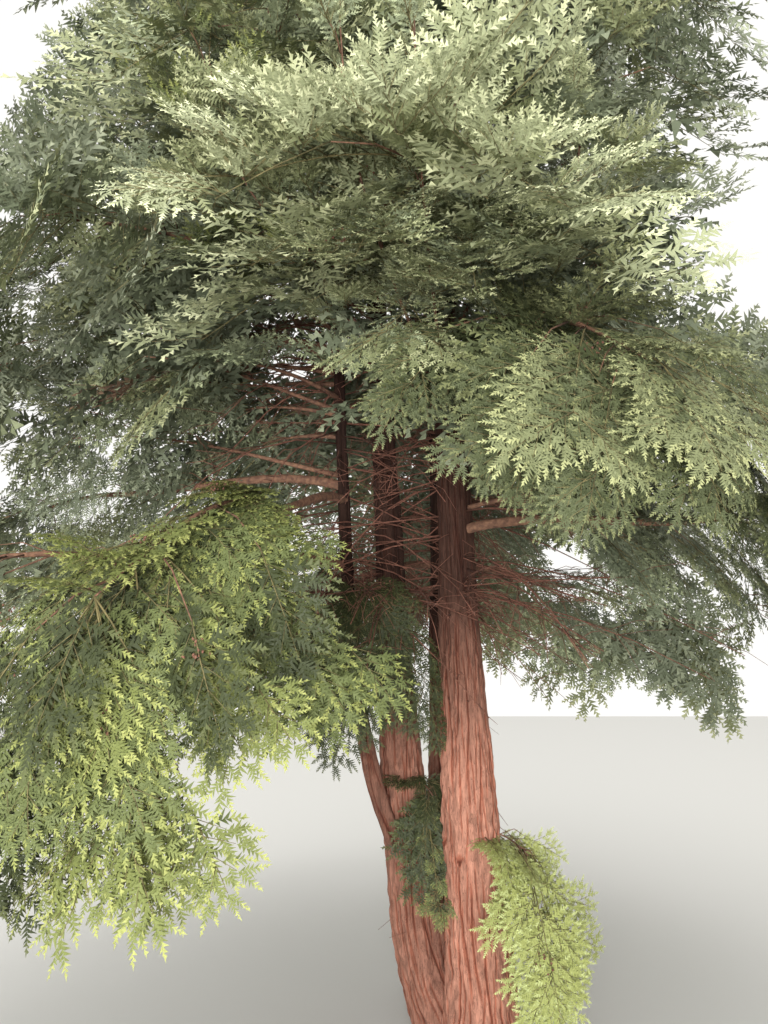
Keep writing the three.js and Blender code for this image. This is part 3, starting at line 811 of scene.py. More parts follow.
def detail_of(branchlet, shade):
    if shade == "pale":
        return "near"
    middle = branchlet["root"] + branchlet["along"] * branchlet["length"] / 2
    distance = np.linalg.norm(middle - np.array(EYE))
    low_edge = middle[2] < CROWN_EDGE
    if not in_frame(middle) or (middle[1] > BEHIND and not low_edge):
        return "back"
    is_hidden = inside_share(branchlet["root"]) < HIDDEN_INSIDE
    if shade in ("deep", "dry") and distance > DETAIL_REACH["near"] and is_hidden:
        return "middle" if low_edge else "back"
    return next((name for name, reach in DETAIL_REACH.items() if distance < reach + low_edge), "back")


def side_branches(branchlet, count, tilt, row, rise=0.0):
    """The side branches of a branchlet, to the left and right in turn, and one at its end."""
    length, along = branchlet["length"], branchlet["along"]
    side = unit(np.cross(branchlet["face"], along))
    over = unit(np.cross(along, side))
    for i in range(count):
        if i == count - 1:
            s, turn, share = END_BRANCH, 0, END_SIZE
        else:
            s = FIRST_BRANCH + BRANCHES_OVER * i / max(count - 2, 1)
            opening = math.radians(between(row, *BRANCH_OPENING) - BRANCH_OPENING_LOSS * s)
            turn = opening * (1 if i % 2 else -1)
            share = BRANCH_SIZE - BRANCH_SIZE_LOSS * s
        root = branchlet["root"] + along * s * length - over * branchlet["nod"] * length * s**2
        droop = 2 * branchlet["nod"] * s
        sink = between(row, 0.0, tilt) - rise
        way = unit(along * math.cos(turn) + side * math.sin(turn) - over * droop - UP * sink)
        normal = over + side * between(row, -tilt, tilt) + along * between(row, -tilt, tilt)
        size = length * share * between(row, 0.85, 1.1)
        yield dict(root=root, along=way, face=normal, length=size, nod=0.05)


def place_fronds(branchlet, row):
    shade = shade_of(branchlet, row)
    detail = detail_of(branchlet, shade)
    is_high = branchlet["root"][2] > RISE_FROM
    rise, frond_rise = (RISE[detail], FROND_RISE[detail]) if is_high else (0.0, 0.0)
    if detail == "near" and branchlet["length"] > LONGEST_FAN:
        for fan in side_branches(branchlet, FANS_EACH, TILT[detail], row, rise):
            thin_axes.append((fan["root"], fan["root"] + fan["along"] * fan["length"] * 0.6))
            place_fronds(dict(fan, shade=shade, nod=0.15), row)
        return
    for branch in side_branches(branchlet, BRANCHES_EACH[detail], TILT[detail], row, rise):
        if detail != "back":
            thin_axes.append((branch["root"], branch["root"] + branch["along"] * branch["length"] * 0.55))
        for frond in side_branches(branch, FRONDS_EACH[detail], TILT[detail], row, frond_rise):
            way = frond["along"]
            across = unit(np.cross(frond["face"], way))
            length = FROND_GROWTH[detail] * frond["length"]
            tip = frond["root"] + way * length
            if tip[2] < GROUND_CLEARANCE:
                continue
            out = np.linalg.norm(tip - branchlet["root"]) / branchlet["length"]
            on_edge = out > EDGE_FROM
            its_shade = shade if on_edge else FOOT_PAINTED_SHADES.get(shade, shade)
            its_detail = "middle" if detail == "near" and not on_edge else detail
            pattern = int(next(row) * PATTERNS)
            placed.setdefault((its_shade, its_detail), []).append(
                (frond["root"], way, across, np.cross(way, across), length, pattern)
            )


thin_axes = []
frond_row = number_row(501)
for branchlet in branchlets:
    place_fronds(branchlet, frond_row)
for (shade, detail), fronds in sorted(placed.items()):
    print(shade, detail, len(fronds), "fronds")

# %% [markdown]
# The copies are worked out all at once: a pattern's points are scaled and turned by each frond's
# own three directions and moved to its root. The result is one mesh for each colour and detail, cut
# into pieces that stay under 200,000 triangles.

# %% Making meshes from arrays
MOST_TRIANGLES = 190000


def mesh_piece(name, points, faces, material, smooth=True):
    mesh = bpy.data.meshes.new(name)
    mesh.vertices.add(len(points))
    mesh.vertices.foreach_set("co", np.ascontiguousarray(points, dtype=np.float32).ravel())
    mesh.loops.add(faces.size)
    mesh.loops.foreach_set("vertex_index", np.ascontiguousarray(faces, dtype=np.int32).ravel())
    mesh.polygons.add(len(faces))
    mesh.polygons.foreach_set("loop_start", np.arange(len(faces), dtype=np.int32) * 3)
    mesh.update(calc_edges=True)
    mesh.polygons.foreach_set("use_smooth", np.full(len(faces), smooth))
    mesh.materials.append(material)
    piece = bpy.data.objects.new(name, mesh)
    bpy.context.collection.objects.link(piece)
    return piece


def copies(part, detail, fronds):
    """Points and faces of one part, inner or outer, of many fronds at once, pattern by pattern."""
    all_points, all_faces, offset = [], [], 0
    for index, pattern in enumerate(patterns[detail]):
        points, faces = pattern[part]
        chosen = [frond for frond in fronds if frond[5] == index]
        if not chosen:
            continue
        root, way, across, over = (np.array([frond[k] for frond in chosen])[:, None, :] for k in range(4))
        size = np.array([frond[4] for frond in chosen])[:, None, None]
        x, y, z = (points[None, :, k, None] for k in range(3))
        moved = (root + size * (x * way + y * across + z * over)).reshape(-1, 3)
        first = np.arange(len(chosen))[:, None, None] * len(points) + offset
        all_points.append(moved)
        all_faces.append((faces[None] + first).reshape(-1, 3))
        offset += len(moved)
    return np.concatenate(all_points), np.concatenate(all_faces)


def stand_for(piece, nodes):
    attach(piece, BODY)
    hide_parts(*nodes)
    return piece


# %% [markdown]
# Materials come next, and two small helpers for them. Colours are written as one reads them off a
# screen and turned to linear by one function. The other adds a node with its settings and links, so
# that a material reads like a list.

# %% Helpers for materials
def linear(hex_colour):
    """An sRGB hex colour as linear red, green, blue and alpha."""
    values = [int(hex_colour[i:i + 2], 16) / 255 for i in (1, 3, 5)]
    return [v / 12.92 if v <= 0.04045 else ((v + 0.055) / 1.055) ** 2.4 for v in values] + [1.0]


def add_node(tree, kind, links=(), **settings):
    """Adds a node. A setting is an attribute of the node, or the value of the input of that name."""
    node = tree.nodes.new(kind)
    for key, value in settings.items():
        if hasattr(node, key):
            setattr(node, key, value)
        else:
            node.inputs[key.replace("_", " ")].default_value = value
    for source, target in links:
        tree.links.new(source, node.inputs[target])
    return node


def new_material(name):
    material = bpy.data.materials.new(name)
    material.use_nodes = True
    tree = material.node_tree
    return material, tree, tree.nodes["Principled BSDF"]


# %% [markdown]
# Scale leaves are waxy, with a soft broken gloss, and their colour is plain on each spray: a fresh
# yellow-green on the shoots that grow in the light, a greyer green on older sprays, and a deep
# green inside the crown, which is painted shade. The darker feet of the fans and the sprays behind
# and between the tiers are painted shade too. The lightest colours of some sprays in front are
# painted light, and the lighter outer shoots are partly fresh growth and partly painted light. A
# plain colour is enough here, because the many small faces break the light up by themselves.

# %% Scale-leaf materials
# the outer shoots are lighter, partly as fresh growth and partly as painted light on the edges of the fans
LEAF_COLOURS = {  # inner shoots, fresh outer shoots
    "pale": ("#949a5a", "#aeb678"),
    # partly fresh growth, partly painted light on the fans that catch the most light
    "bright": ("#6a713e", "#8f9355"),
    "fresh": ("#5c643b", "#82874c"),
    # painted shade, for the sprays behind and between the tiers of fans
    "shaded": ("#363c23", "#4e5331"),
    # a lit and a shaded copy of one foliage: painted light on the hanging clusters of the right mass,
    # painted shade on the rest of it
    "sunny": ("#6f7451", "#96996c"),
    "leafy": ("#4c5236", "#6a6e49"),
    # painted light: a lighter colour for sprays seen from below, standing in for light that comes up under
    # them
    "airy": ("#8d9270", "#c0c39c"),
    "olive": ("#727754", "#9da079"),
    "mid": ("#70775b", "#989f7c"),
    "grey": ("#7c826c", "#9ba087"),
    # painted shade, for the sprays inside the crown
    "deep": ("#636a54", "#80866d"),
    "dry": ("#665040", "#7c6551"),
}


def scale_leaf_material(name, colour):
    """Living scale leaves: plain colour with a waxy, slightly broken gloss."""
    material, _, shader = new_material("scale_leaves_" + name)
    shader.inputs["Base Color"].default_value = linear(colour)
    shader.inputs["Roughness"].default_value = 0.6
    shader.inputs["Specular IOR Level"].default_value = 0.28
    return material


leaf_materials = {
    (shade, part): scale_leaf_material(shade + ("_inner", "_outer")[part], colours[part])
    for shade, colours in LEAF_COLOURS.items() for part in (0, 1)
}
print(len(leaf_materials), "leaf materials")

# %% [markdown]
# Now the sprays are made, one mesh for each shade, part and detail. They stand for the frame's
# masses, whose solids are hidden.

# %% The sprays
total_faces = 0
for (shade, detail), fronds in sorted(placed.items()):
    for part in (0, 1):
        faces_each = len(patterns[detail][0][part][1])
        per_piece = MOST_TRIANGLES // faces_each
        for start in range(0, len(fronds), per_piece):
            points, faces = copies(part, detail, fronds[start:start + per_piece])
            name = f"sprays_{shade}_{('inner', 'outer')[part]}_{detail}_{start // per_piece + 1}"
            piece = mesh_piece(name, points, faces, leaf_materials[shade, part])
            stand_for(piece, masses_in_frame)
            total_faces += len(faces)
            print(name, len(faces), "faces")
print("sprays in all:", total_faces, "faces")

# %% [markdown]
# The wood inside the foliage is made from arrays as well: the stems of the masses, their twigs and
# the axes of the branchlets. Each is a thin tube with three to six sides that tapers to its tip.

# %% Tubes
def tubes(paths, radii, sides):
    """Tapering tubes round many paths at once. paths is (count, steps, 3) and radii (count, steps)."""
    count, steps, _ = paths.shape
    along = np.gradient(paths, axis=1)
    along /= np.linalg.norm(along, axis=2, keepdims=True)
    reference = np.where(np.abs(along[..., 2:]) > 0.95, [[[1.0, 0, 0]]], [[[0, 0, 1.0]]])
    side = np.cross(along, reference)
    side /= np.linalg.norm(side, axis=2, keepdims=True)
    over = np.cross(along, side)
    angles = np.linspace(0, 2 * math.pi, sides, endpoint=False)
    ring = np.cos(angles)[:, None] * side[:, :, None] + np.sin(angles)[:, None] * over[:, :, None]
    points = paths[:, :, None] + radii[:, :, None, None] * ring
    i = np.arange(steps - 1)[:, None] * sides
    k = np.arange(sides)[None]
    k2 = (k + 1) % sides
    quads = np.stack([i + k, i + k2, i + k2 + sides, i + k + sides], axis=-1).reshape(-1, 4)
    first = (steps - 1) * sides
    near_cap = [(0, j + 1, j) for j in range(1, sides - 1)]
    far_cap = [(first, first + j, first + j + 1) for j in range(1, sides - 1)]
    faces = np.concatenate([quads[:, [0, 1, 2]], quads[:, [0, 2, 3]], np.array(near_cap + far_cap)])
    offsets = np.arange(count)[:, None, None] * steps * sides
    return points.reshape(-1, 3), (faces[None] + offsets).reshape(-1, 3)


def together(*meshes):
    points, faces, offset = [], [], 0
    for some_points, some_faces in meshes:
        points.append(some_points)
        faces.append(some_faces + offset)
        offset += len(some_points)
    return np.concatenate(points), np.concatenate(faces)


# %% [markdown]
# The bark of living twigs is matt and scaly, brown on older wood and greenish on young shoots.
# Noise with cells of 20 mm, the size of its flakes, mixes a darker and a lighter tone of each. The
# same material, in other tones, will serve for dead twigs and cones.

# %% Twig bark
FLAKE_SIZE = 0.02


def twig_material(name, dark, light):
    """Matt bark with patches of a lighter tone, as large as its flakes."""
    material, tree, shader = new_material(name)
    place = add_node(tree, "ShaderNodeTexCoord").outputs["Object"]
    flakes = add_node(tree, "ShaderNodeTexNoise", [(place, "Vector")], Scale=1 / FLAKE_SIZE, Detail=4.0)
    ramp = add_node(tree, "ShaderNodeValToRGB", [(flakes.outputs["Fac"], "Fac")])
    for stop, position, colour in zip(ramp.color_ramp.elements, (0.35, 0.7), (dark, light)):
        stop.position = position
        stop.color = linear(colour)
    tree.links.new(ramp.outputs["Color"], shader.inputs["Base Color"])
    shader.inputs["Roughness"].default_value = 0.85
    return material


twig_bark = twig_material("twig_bark_scaly", "#54392c", "#836049")
green_shoots = twig_material("young_shoots_green", "#575030", "#7b7048")

# %% [markdown]
# The tubes are gathered into two pieces: the woody stems and twigs, and the young green axes inside
# the sprays.

# %% The twigs
TWIG_SLENDERNESS = 0.55  # the frame's twigs are thicker than life, so that they weld
AXIS_RADII = (0.0026, 0.0010)
THIN_RADII = (0.0014, 0.0007)
STEM_TIP_RADIUS = 0.003
TWIG_BOW = 0.03
SHARES = np.linspace(0, 1, 8)
limbs = masses + slim_limbs
mass_stems = np.array([limb["line"].point(SHARES) for limb in limbs])
mass_radii = np.array([limb["thick"] * (1 - SHARES) ** 1.3 + STEM_TIP_RADIUS * SHARES for limb in limbs])

roots, ends, thick = (np.array([path[k] for path in twig_paths]) for k in range(3))
steps = np.linspace(0, 1, 3)
bow = np.sin(steps * math.pi)[None, :, None] * TWIG_BOW * UP
twig_lines = roots[:, None] + (ends - roots)[:, None] * steps[None, :, None] + bow
twig_radii = thick[:, None] * (1 - 0.6 * steps)[None] * TWIG_SLENDERNESS


def branchlet_axis(branchlet):
    s = np.linspace(0, 0.6, 3)[:, None]
    over = unit(np.cross(branchlet["along"], unit(np.cross(branchlet["face"], branchlet["along"]))))
    length = branchlet["length"]
    return branchlet["root"] + branchlet["along"] * s * length - over * branchlet["nod"] * length * s**2


axes = np.array([branchlet_axis(branchlet) for branchlet in branchlets])
axis_radii = np.tile(np.linspace(*AXIS_RADII, 3), (len(axes), 1))
axis_roots, axis_ends = (np.array([pair[k] for pair in thin_axes]) for k in range(2))
thin_lines = np.stack([axis_roots, axis_ends], axis=1)
thin_radii = np.tile(THIN_RADII, (len(thin_lines), 1))
arms_drawn = np.array([line.point(SHARES) for line in arm_lines])
arm_radii = np.tile(ARM_THICKNESS * (1 - 0.7 * SHARES), (len(arm_lines), 1))
woody = together(tubes(mass_stems, mass_radii, 6), tubes(twig_lines, twig_radii, 4))
young = together(
    tubes(arms_drawn, arm_radii, 5), tubes(axes, axis_radii, 3), tubes(thin_lines, thin_radii, 3)
)
for name, tubing, material in (("twigs", woody, twig_bark), ("spray_axes", young, green_shoots)):
    stand_for(mesh_piece(name, *tubing, material), masses_in_frame)
    print(name, "have", len(tubing[1]), "faces")

# %% [markdown]
# Shaded twigs inside a cedar die but stay on the tree for years, so the trunks stand in a haze of
# bare red-brown brushwood under the crown. It shows well in the photograph, to the left of the
# trunks and under the right bough. These twigs run out from the stems, nearly level, and fork
# several times.

# %% The dead brushwood
DEAD_TWIGS = 360
DEAD_FORKS = 9
DEAD_FROM, DEAD_TO = 1.9, 5.5
DEAD_CROWDING = 2.1  # more of them stand low down
DEAD_PITCH = (-22, 14)  # degrees from level
DEAD_LENGTH = (0.12, 0.42)  # shares of the crown's reach at that height
FORK_FROM, FORK_TO = 0.2, 0.97
FORK_LENGTH = (0.15, 0.42)
STUB_HEIGHTS = (0.35, 2.2)
STUB_LENGTHS = (0.03, 0.13)
MAIN_RADII = (0.0045, 0.0016)
FORK_RADII = (0.0021, 0.0008)
STUBS = 90
STUB_STEPS = (0.0, 0.5, 1.0)
dead_row = number_row(701)


def dead_twig(row):
    stem = list(STEMS.values())[int(next(row) * 4)]
    z = DEAD_FROM + (min(stem["tip"], DEAD_TO) - DEAD_FROM) * next(row) ** DEAD_CROWDING
    azimuth = 360 * next(row)
    way = heading(azimuth, between(row, *DEAD_PITCH))
    root = stem_axis(stem, z) + heading(azimuth, 0) * stem_radius(stem, z) * 0.8
    length = crown_reach(z, azimuth) * between(row, *DEAD_LENGTH)
    bend = np.array([between(row, -0.3, 0.3), between(row, -0.3, 0.3), between(row, -0.55, 0.0)])
    shares = np.linspace(0, 1, 5)[:, None]
    main = root + way * length * shares + bend * length * shares**2
    its_forks = []
    for _ in range(DEAD_FORKS):
        at = between(row, FORK_FROM, FORK_TO)
        start = root + way * length * at + bend * length * at**2
        spread = np.array([between(row, -1, 1), between(row, -1, 1), between(row, -1.1, 0.4)])
        end = start + unit(way + 0.9 * spread) * length * between(row, *FORK_LENGTH) * (1.1 - 0.5 * at)
        middle = (start + end) / 2 + np.array([0, 0, between(row, -0.01, 0.03)])
        its_forks.append(np.array([start, middle, end]))
    return main, its_forks


def stub(row):
    """A short broken twig low on a trunk, bent down against the bark."""
    stem = list(STEMS.values())[int(next(row) * 3)]
    z, azimuth = between(row, *STUB_HEIGHTS), 360 * next(row)
    outward = heading(azimuth, 0)
    sideways = np.cross(outward, UP) * between(row, -1.2, 1.2)
    root = stem_axis(stem, z) + outward * stem_radius(stem, z)
    length = between(row, *STUB_LENGTHS)
    bend = outward * 0.25 + sideways - UP * between(row, -0.3, 1.2)
    start = outward * 0.3 + sideways * 0.3
    return np.array([root + length * (s * start + s**2 * bend * 0.7) for s in STUB_STEPS])


mains, forks = [], [stub(dead_row) for _ in range(STUBS)]
for _ in range(DEAD_TWIGS):
    main, its_forks = dead_twig(dead_row)
    mains.append(main)
    forks += its_forks
main_radii = np.tile(np.linspace(*MAIN_RADII, 5), (len(mains), 1))
fork_radii = np.tile(np.linspace(*FORK_RADII, 3), (len(forks), 1))
points, faces = together(tubes(np.array(mains), main_radii, 4), tubes(np.array(forks), fork_radii, 3))

# the bark of dead twigs weathers to a dry, dusty red-brown
dead_bark = twig_material("dead_twigs_dry", "#5c392c", "#7c5140")
stand_for(mesh_piece("dead_twigs", points, faces, dead_bark), masses_in_frame)
print("dead twigs:", len(faces), "faces")

# %% [markdown]
# Western red cedar has thin, soft, cinnamon-brown bark that splits into long flat strips, a few
# centimetres wide and a few hands tall. Each stem starts as a circle on the ground and is extruded
# ring by ring up its own line, as one would pull it up by hand. A Subdivision Surface then gives it
# enough points to carry the strips as real geometry.

# %% Stem shapes
RING_CORNERS = {"trunk_front": 72, "trunk_left": 60, "trunk_back": 36, "stem_fork": 24}
STEM_RINGS = 60
EVEN_SHARE = 0.33  # rings are evenly close together below the crown, and further and further apart in it
CROWDING_POWER = 7


def deselect():
    if bpy.context.mode != "OBJECT":
        bpy.ops.object.mode_set(mode="OBJECT")
    bpy.ops.object.select_all(action="DESELECT")


def make_active(piece):
    deselect()
    piece.select_set(True)
    bpy.context.view_layer.objects.active = piece


def raise_stem(name, stem):
    """A tapering stem, extruded ring by ring along its line."""
    deselect()
    steps = np.linspace(0, 1, STEM_RINGS)
    shares = EVEN_SHARE * steps + (1 - EVEN_SHARE) * steps**CROWDING_POWER
    heights = stem["start"] + (stem["tip"] - stem["start"]) * shares
    centre, radius = stem_axis(stem, heights[0]), stem_radius(stem, heights[0])
    bpy.ops.mesh.primitive_circle_add(
        vertices=RING_CORNERS[name], radius=radius, fill_type="NGON", location=centre
    )
    piece = bpy.context.object
    piece.name = piece.data.name = name + "_bark"
    bpy.ops.object.mode_set(mode="EDIT")
    for z in heights[1:]:
        step = stem_axis(stem, z) - centre
        growth = stem_radius(stem, z) / radius
        bpy.ops.mesh.extrude_region_move(TRANSFORM_OT_translate={"value": tuple(step)})
        centre, radius = stem_axis(stem, z), stem_radius(stem, z)
        bpy.ops.transform.resize(value=(growth, growth, 1), center_override=tuple(centre))
    bpy.ops.mesh.select_all(action="SELECT")
    bpy.ops.mesh.normals_make_consistent(inside=False)
    bpy.ops.object.mode_set(mode="OBJECT")
    bpy.ops.object.transform_apply(location=True, rotation=True, scale=True)
    smooth = piece.modifiers.new("smooth", "SUBSURF")
    smooth.levels = smooth.render_levels = 2
    bpy.ops.object.modifier_apply(modifier="smooth")
    return piece


stem_pieces = {name: raise_stem(name, stem) for name, stem in STEMS.items()}
for name, piece in stem_pieces.items():
    print(piece.name, 2 * len(piece.data.polygons), "triangles")

# %% [markdown]
# Old bark splits where it is pulled apart, in long, wavering, nearly upright lines, each open for a
# stretch and then closed again. Every line here goes up the whole stem, wanders from side to side
# by two waves of its own, and a third wave opens and closes it. Wide lines and fine ones are laid
# over each other. There are as many of them round the stem at every height, so the strips between
# them get narrower towards the top with the stem itself.

# %% Bark strips
GROOVES = (  # apart, half as wide, deep, and how tall the open stretches are
    (0.036, 0.0034, 0.75, 0.40),
    (0.013, 0.0026, 0.5, 0.17),
)
# how far a line wanders, as a share of the gap to the next, and how tall its waves are, in open stretches
SLOW_WAVE = (0.5, 0.9)
QUICK_WAVE = (0.16, 0.23)
OPEN_WAVE = 0.4
OPEN_SHARE, OPEN_STEEPNESS = 0.35, 1.2
PLATE_SIZE = (0.020, 0.05)  # width and height of the patches of one tone


def noise_on_stem(angle, z, radius, across, along, offset):
    """Smooth noise on a cylinder, in cells of this width and height."""
    x, y = np.cos(angle) * radius / across, np.sin(angle) * radius / across
    return np.array([noise.noise(Vector(place)) for place in zip(x + offset, y - offset, z / along)])


def groove_depth(angle, z, radius, apart, half_wide, stretch, row):
    """How deep a point lies in the nearest of the grooves, from 0 to 1."""
    deep = np.zeros(len(z))
    count = round(2 * math.pi * radius / apart)
    for k in range(count):
        slow, quick, opening = (between(row, 0, 2 * math.pi) for _ in range(3))
        waves = ((*SLOW_WAVE, slow), (*QUICK_WAVE, quick))
        wander = sum(far * np.sin(z / (tall * stretch) + start) for far, tall, start in waves)
        centre = (2 * math.pi * k + between(row, -1.5, 1.5) + 2 * math.pi * wander) / count
        away = np.abs(np.angle(np.exp(1j * (angle - centre)))) * radius / half_wide
        wave = np.sin(z / (OPEN_WAVE * stretch * between(row, 0.7, 1.3)) + opening)
        is_open = np.clip(OPEN_SHARE + OPEN_STEEPNESS * wave, 0, 1)
        deep = np.maximum(deep, is_open * np.exp(-(away**2)))
    return deep


def bark_strips(angle, z, radius, row):
    """How far a point stands out, from 0 in a groove to 1 on a strip, and the tone of its patch."""
    stands = np.ones(len(z))
    for apart, half_wide, deep, stretch in GROOVES:
        depth = groove_depth(angle, z, radius, apart, half_wide, stretch, row)
        stands = np.minimum(stands, 1 - deep * depth)
    plates = noise_on_stem(angle, z, radius, *PLATE_SIZE, 100 * next(row))
    return stands, np.clip(0.5 + 1.2 * plates, 0, 1)


# %% [markdown]
# The foot of each trunk spreads in shallow lobes over its main roots, by the same cosine as the
# frame's flare. Old branch scars stand out as small round knots with a dark middle, and over each
# knot a dark arc is the painted shadow of a fold of bark.

# %% Relief of the stems
LOBE_SHARE = 0.45
STRIP_DEPTH = {"trunk_front": 0.0075, "trunk_left": 0.007, "trunk_back": 0.006, "stem_fork": 0.0025}
SWELLS = ((0.004, 3, 0.31), (0.003, 5, -0.13))  # height, waves round the stem, and rise per radian
KNOTS = 8
KNOTS_FROM, KNOTS_OVER = 0.3, 3.2
KNOT_SIZE = 0.017
KNOT_HEIGHT = 0.007
# the painted shadow of a fold of bark above a knot, a dark arc: radians to either side, rise and width in
# metres
FOLD_SHADOW_TURN = 0.2
FOLD_SHADOW_HEIGHT = 0.02
FOLD_SHADOW_WIDTH = 0.008
# under the crown the bark is painted darker by this share, as painted shade of the crown, from this height
# up and over this rise
SHADED = 0.85
SHADE_FROM = 1.1
SHADE_RISE = 0.8
# painted shade: the stems further in, which the others shade, keep only these shares of their brightness
# all the way
PAINTED_STEM_SHADE = {"trunk_front": 1.0, "trunk_left": 0.68, "trunk_back": 0.5, "stem_fork": 0.48}


def relieve(piece, name, stem, row):
    """Moves the points of a stem level outwards or inwards, and keeps the strips and the painted shade of
    the crown as attributes.
    """
    mesh = piece.data
    points = np.empty(len(mesh.vertices) * 3)
    mesh.vertices.foreach_get("co", points)
    points = points.reshape(-1, 3)
    z = np.maximum(points[:, 2], 0)
    away = points[:, :2] - stem_axis(stem, z)[:, :2]
    radius = np.linalg.norm(away, axis=1)
    angle = np.arctan2(away[:, 1], away[:, 0])
    breast_radius = stem_radius(stem, stem["start"] + BREAST_HEIGHT)
    stands, tone = bark_strips(angle, z, breast_radius, row)
    depth = STRIP_DEPTH[name] * np.clip(stem_radius(stem, z) / breast_radius, 0.3, 1.3)
    lobes = LOBE_SHARE * stem["flare"] * np.cos(FLARE_LOBES * angle + 1000 * stem["foot"][1])
    push = depth * (stands - 0.75 + 1.0 * (tone - 0.5)) + lobes * np.exp(-z / FLARE_HEIGHT)
    push += sum(height * np.sin(waves * angle + z / rise) for height, waves, rise in SWELLS)
    for _ in range(KNOTS):
        knot_z = stem["start"] + KNOTS_FROM + KNOTS_OVER * next(row)
        knot_angle = 2 * math.pi * next(row)
        turn = np.angle(np.exp(1j * (angle - knot_angle)))
        apart = np.hypot(turn * radius, (z - knot_z) * 0.8) / (KNOT_SIZE * between(row, 0.6, 1.2))
        push += KNOT_HEIGHT * np.exp(-((apart - 0.6) ** 2) * 3)
        stands = np.where(apart < 0.7, 0.25 * stands, stands)
        # painted shadow: a dark arc just above each knot, where a fold of bark would shade it
        fold = knot_z + FOLD_SHADOW_HEIGHT * (1 - (turn / FOLD_SHADOW_TURN) ** 2)
        fold_shadow = np.hypot(turn / FOLD_SHADOW_TURN, (z - fold) / FOLD_SHADOW_WIDTH)
        stands *= 1 - 0.55 * np.exp(-(fold_shadow**2))
    middle = np.clip(radius / stem_radius(stem, z), 0, 1) ** 6
    points[:, :2] += away / np.maximum(radius, 1e-6)[:, None] * (push * middle)[:, None]
    mesh.vertices.foreach_set("co", points.ravel())
    # painted shade of the crown and of the other stems, kept as a brightness in the shade attribute
    shade = PAINTED_STEM_SHADE[name] * (1 - SHADED * np.clip((z - SHADE_FROM) / SHADE_RISE, 0, 1))
    for key, values in (("stands", stands), ("tone", tone), ("shade", shade)):
        mesh.attributes.new(key, "FLOAT", "POINT").data.foreach_set("value", values.astype(np.float32))
    mesh.polygons.foreach_set("use_smooth", np.full(len(mesh.polygons), True))
    mesh.update()


for index, (name, piece) in enumerate(stem_pieces.items()):
    relieve(piece, name, STEMS[name], number_row(901 + index))
print("the main grooves are about", round(1000 * GROOVES[0][0]), "mm apart")

# %% [markdown]
# The bark's colour: dark red-brown at the bottom of the grooves, partly the inner bark's own colour
# and partly painted shade, cinnamon on their sides, and a pinkish tan where old strips have
# bleached. Fine fibres run lengthways, and short cracks cross the strips. These are patterns on
# object coordinates, stretched by a Mapping node. A real fibre is well under a millimetre wide and
# would not show, so it is drawn 3 mm wide. Higher up, painted shade of the crown darkens the bark,
# most of all on the stems that stand further in.

# %% Bark material
# width and height of a cell, where the noise is folded, its range, and the shade at both ends
BARK_PATTERNS = (
    (0.003, 0.07, 1.0, 0.3, 0.7, 0.74, 1.16),
    (0.05, 0.30, 1.0, 0.3, 0.7, 0.84, 1.12),
    (0.012, 0.02, 1.0, 0.55, 0.75, 1.0, 0.84),
    (0.006, 0.16, 0.5, 0.465, 0.5, 1.0, 0.5),
)


def bark_material():
    """Fibrous bark in long vertical strips: matt, cinnamon brown, bleached to a pinkish tan, with painted
    shade under the crown and partly in the grooves.
    """
    material, tree, shader = new_material("fibrous_bark")
    place = add_node(tree, "ShaderNodeTexCoord").outputs["Object"]
    stands, tone, shade = (
        add_node(tree, "ShaderNodeAttribute", attribute_name=key).outputs["Fac"]
        for key in ("stands", "tone", "shade")
    )
    # partly painted shade: the ramp is darkest where the bark lies lowest in a groove, partly the inner
    # bark's own colour
    ramp = add_node(tree, "ShaderNodeValToRGB", [(stands, "Fac")])
    stops = ramp.color_ramp.elements
    stops[0].color, stops[1].color = linear("#371d16"), linear("#b07d69")
    for position, colour in ((0.3, "#723f2f"), (0.65, "#9c604c")):
        stops.new(position).color = linear(colour)
    plates = add_node(tree, "ShaderNodeMapRange", [(tone, "Value")], To_Min=0.84, To_Max=1.14)
    pattern = plates.outputs["Result"]
    for across, along, fold, low, high, dark, light in BARK_PATTERNS:
        scale = (1 / across, 1 / across, 1 / along)
        cells = add_node(tree, "ShaderNodeMapping", [(place, "Vector")], Scale=scale).outputs["Vector"]
        cloud = add_node(tree, "ShaderNodeTexNoise", [(cells, "Vector")], Scale=1.0, Detail=3.0)
        folded = add_node(tree, "ShaderNodeMath", [(cloud.outputs["Fac"], 0)], operation="PINGPONG")
        folded.inputs[1].default_value = fold
        shades = add_node(
            tree, "ShaderNodeMapRange", [(folded.outputs[0], "Value")],
            From_Min=low, From_Max=high, To_Min=dark, To_Max=light,
        )
        links = [(pattern, 0), (shades.outputs["Result"], 1)]
        pattern = add_node(tree, "ShaderNodeMath", links, operation="MULTIPLY").outputs[0]
    bump = add_node(tree, "ShaderNodeBump", [(pattern, "Height")], Distance=0.004, Strength=0.7)
    # painted shade: the shade attribute darkens the bark's pattern and colour
    pattern_and_painted_shade = add_node(tree, "ShaderNodeMath", [(pattern, 0), (shade, 1)], operation="MULTIPLY").outputs[0]
    shaded = add_node(
        tree, "ShaderNodeVectorMath", [(ramp.outputs["Color"], 0), (pattern_and_painted_shade, "Scale")], operation="SCALE"
    )
    tree.links.new(shaded.outputs["Vector"], shader.inputs["Base Color"])
    tree.links.new(bump.outputs["Normal"], shader.inputs["Normal"])
    shader.inputs["Roughness"].default_value = 0.92
    shader.inputs["Specular IOR Level"].default_value = 0.2
    return material


fibrous_bark = bark_material()
for name, piece in stem_pieces.items():
    piece.data.materials.clear()
    piece.data.materials.append(fibrous_bark)
    stand_for(piece, [name])
print("bark covers", len(stem_pieces), "stems")

# %% [markdown]
# A bough is a curve first: its points lie on the frame's line for that bough, each with its own
# radius, and a round bevel gives it girth. Turned into a mesh, it is roughened a little by a
# Displace modifier with cloud noise, because young bark is thin and only slightly ridged.

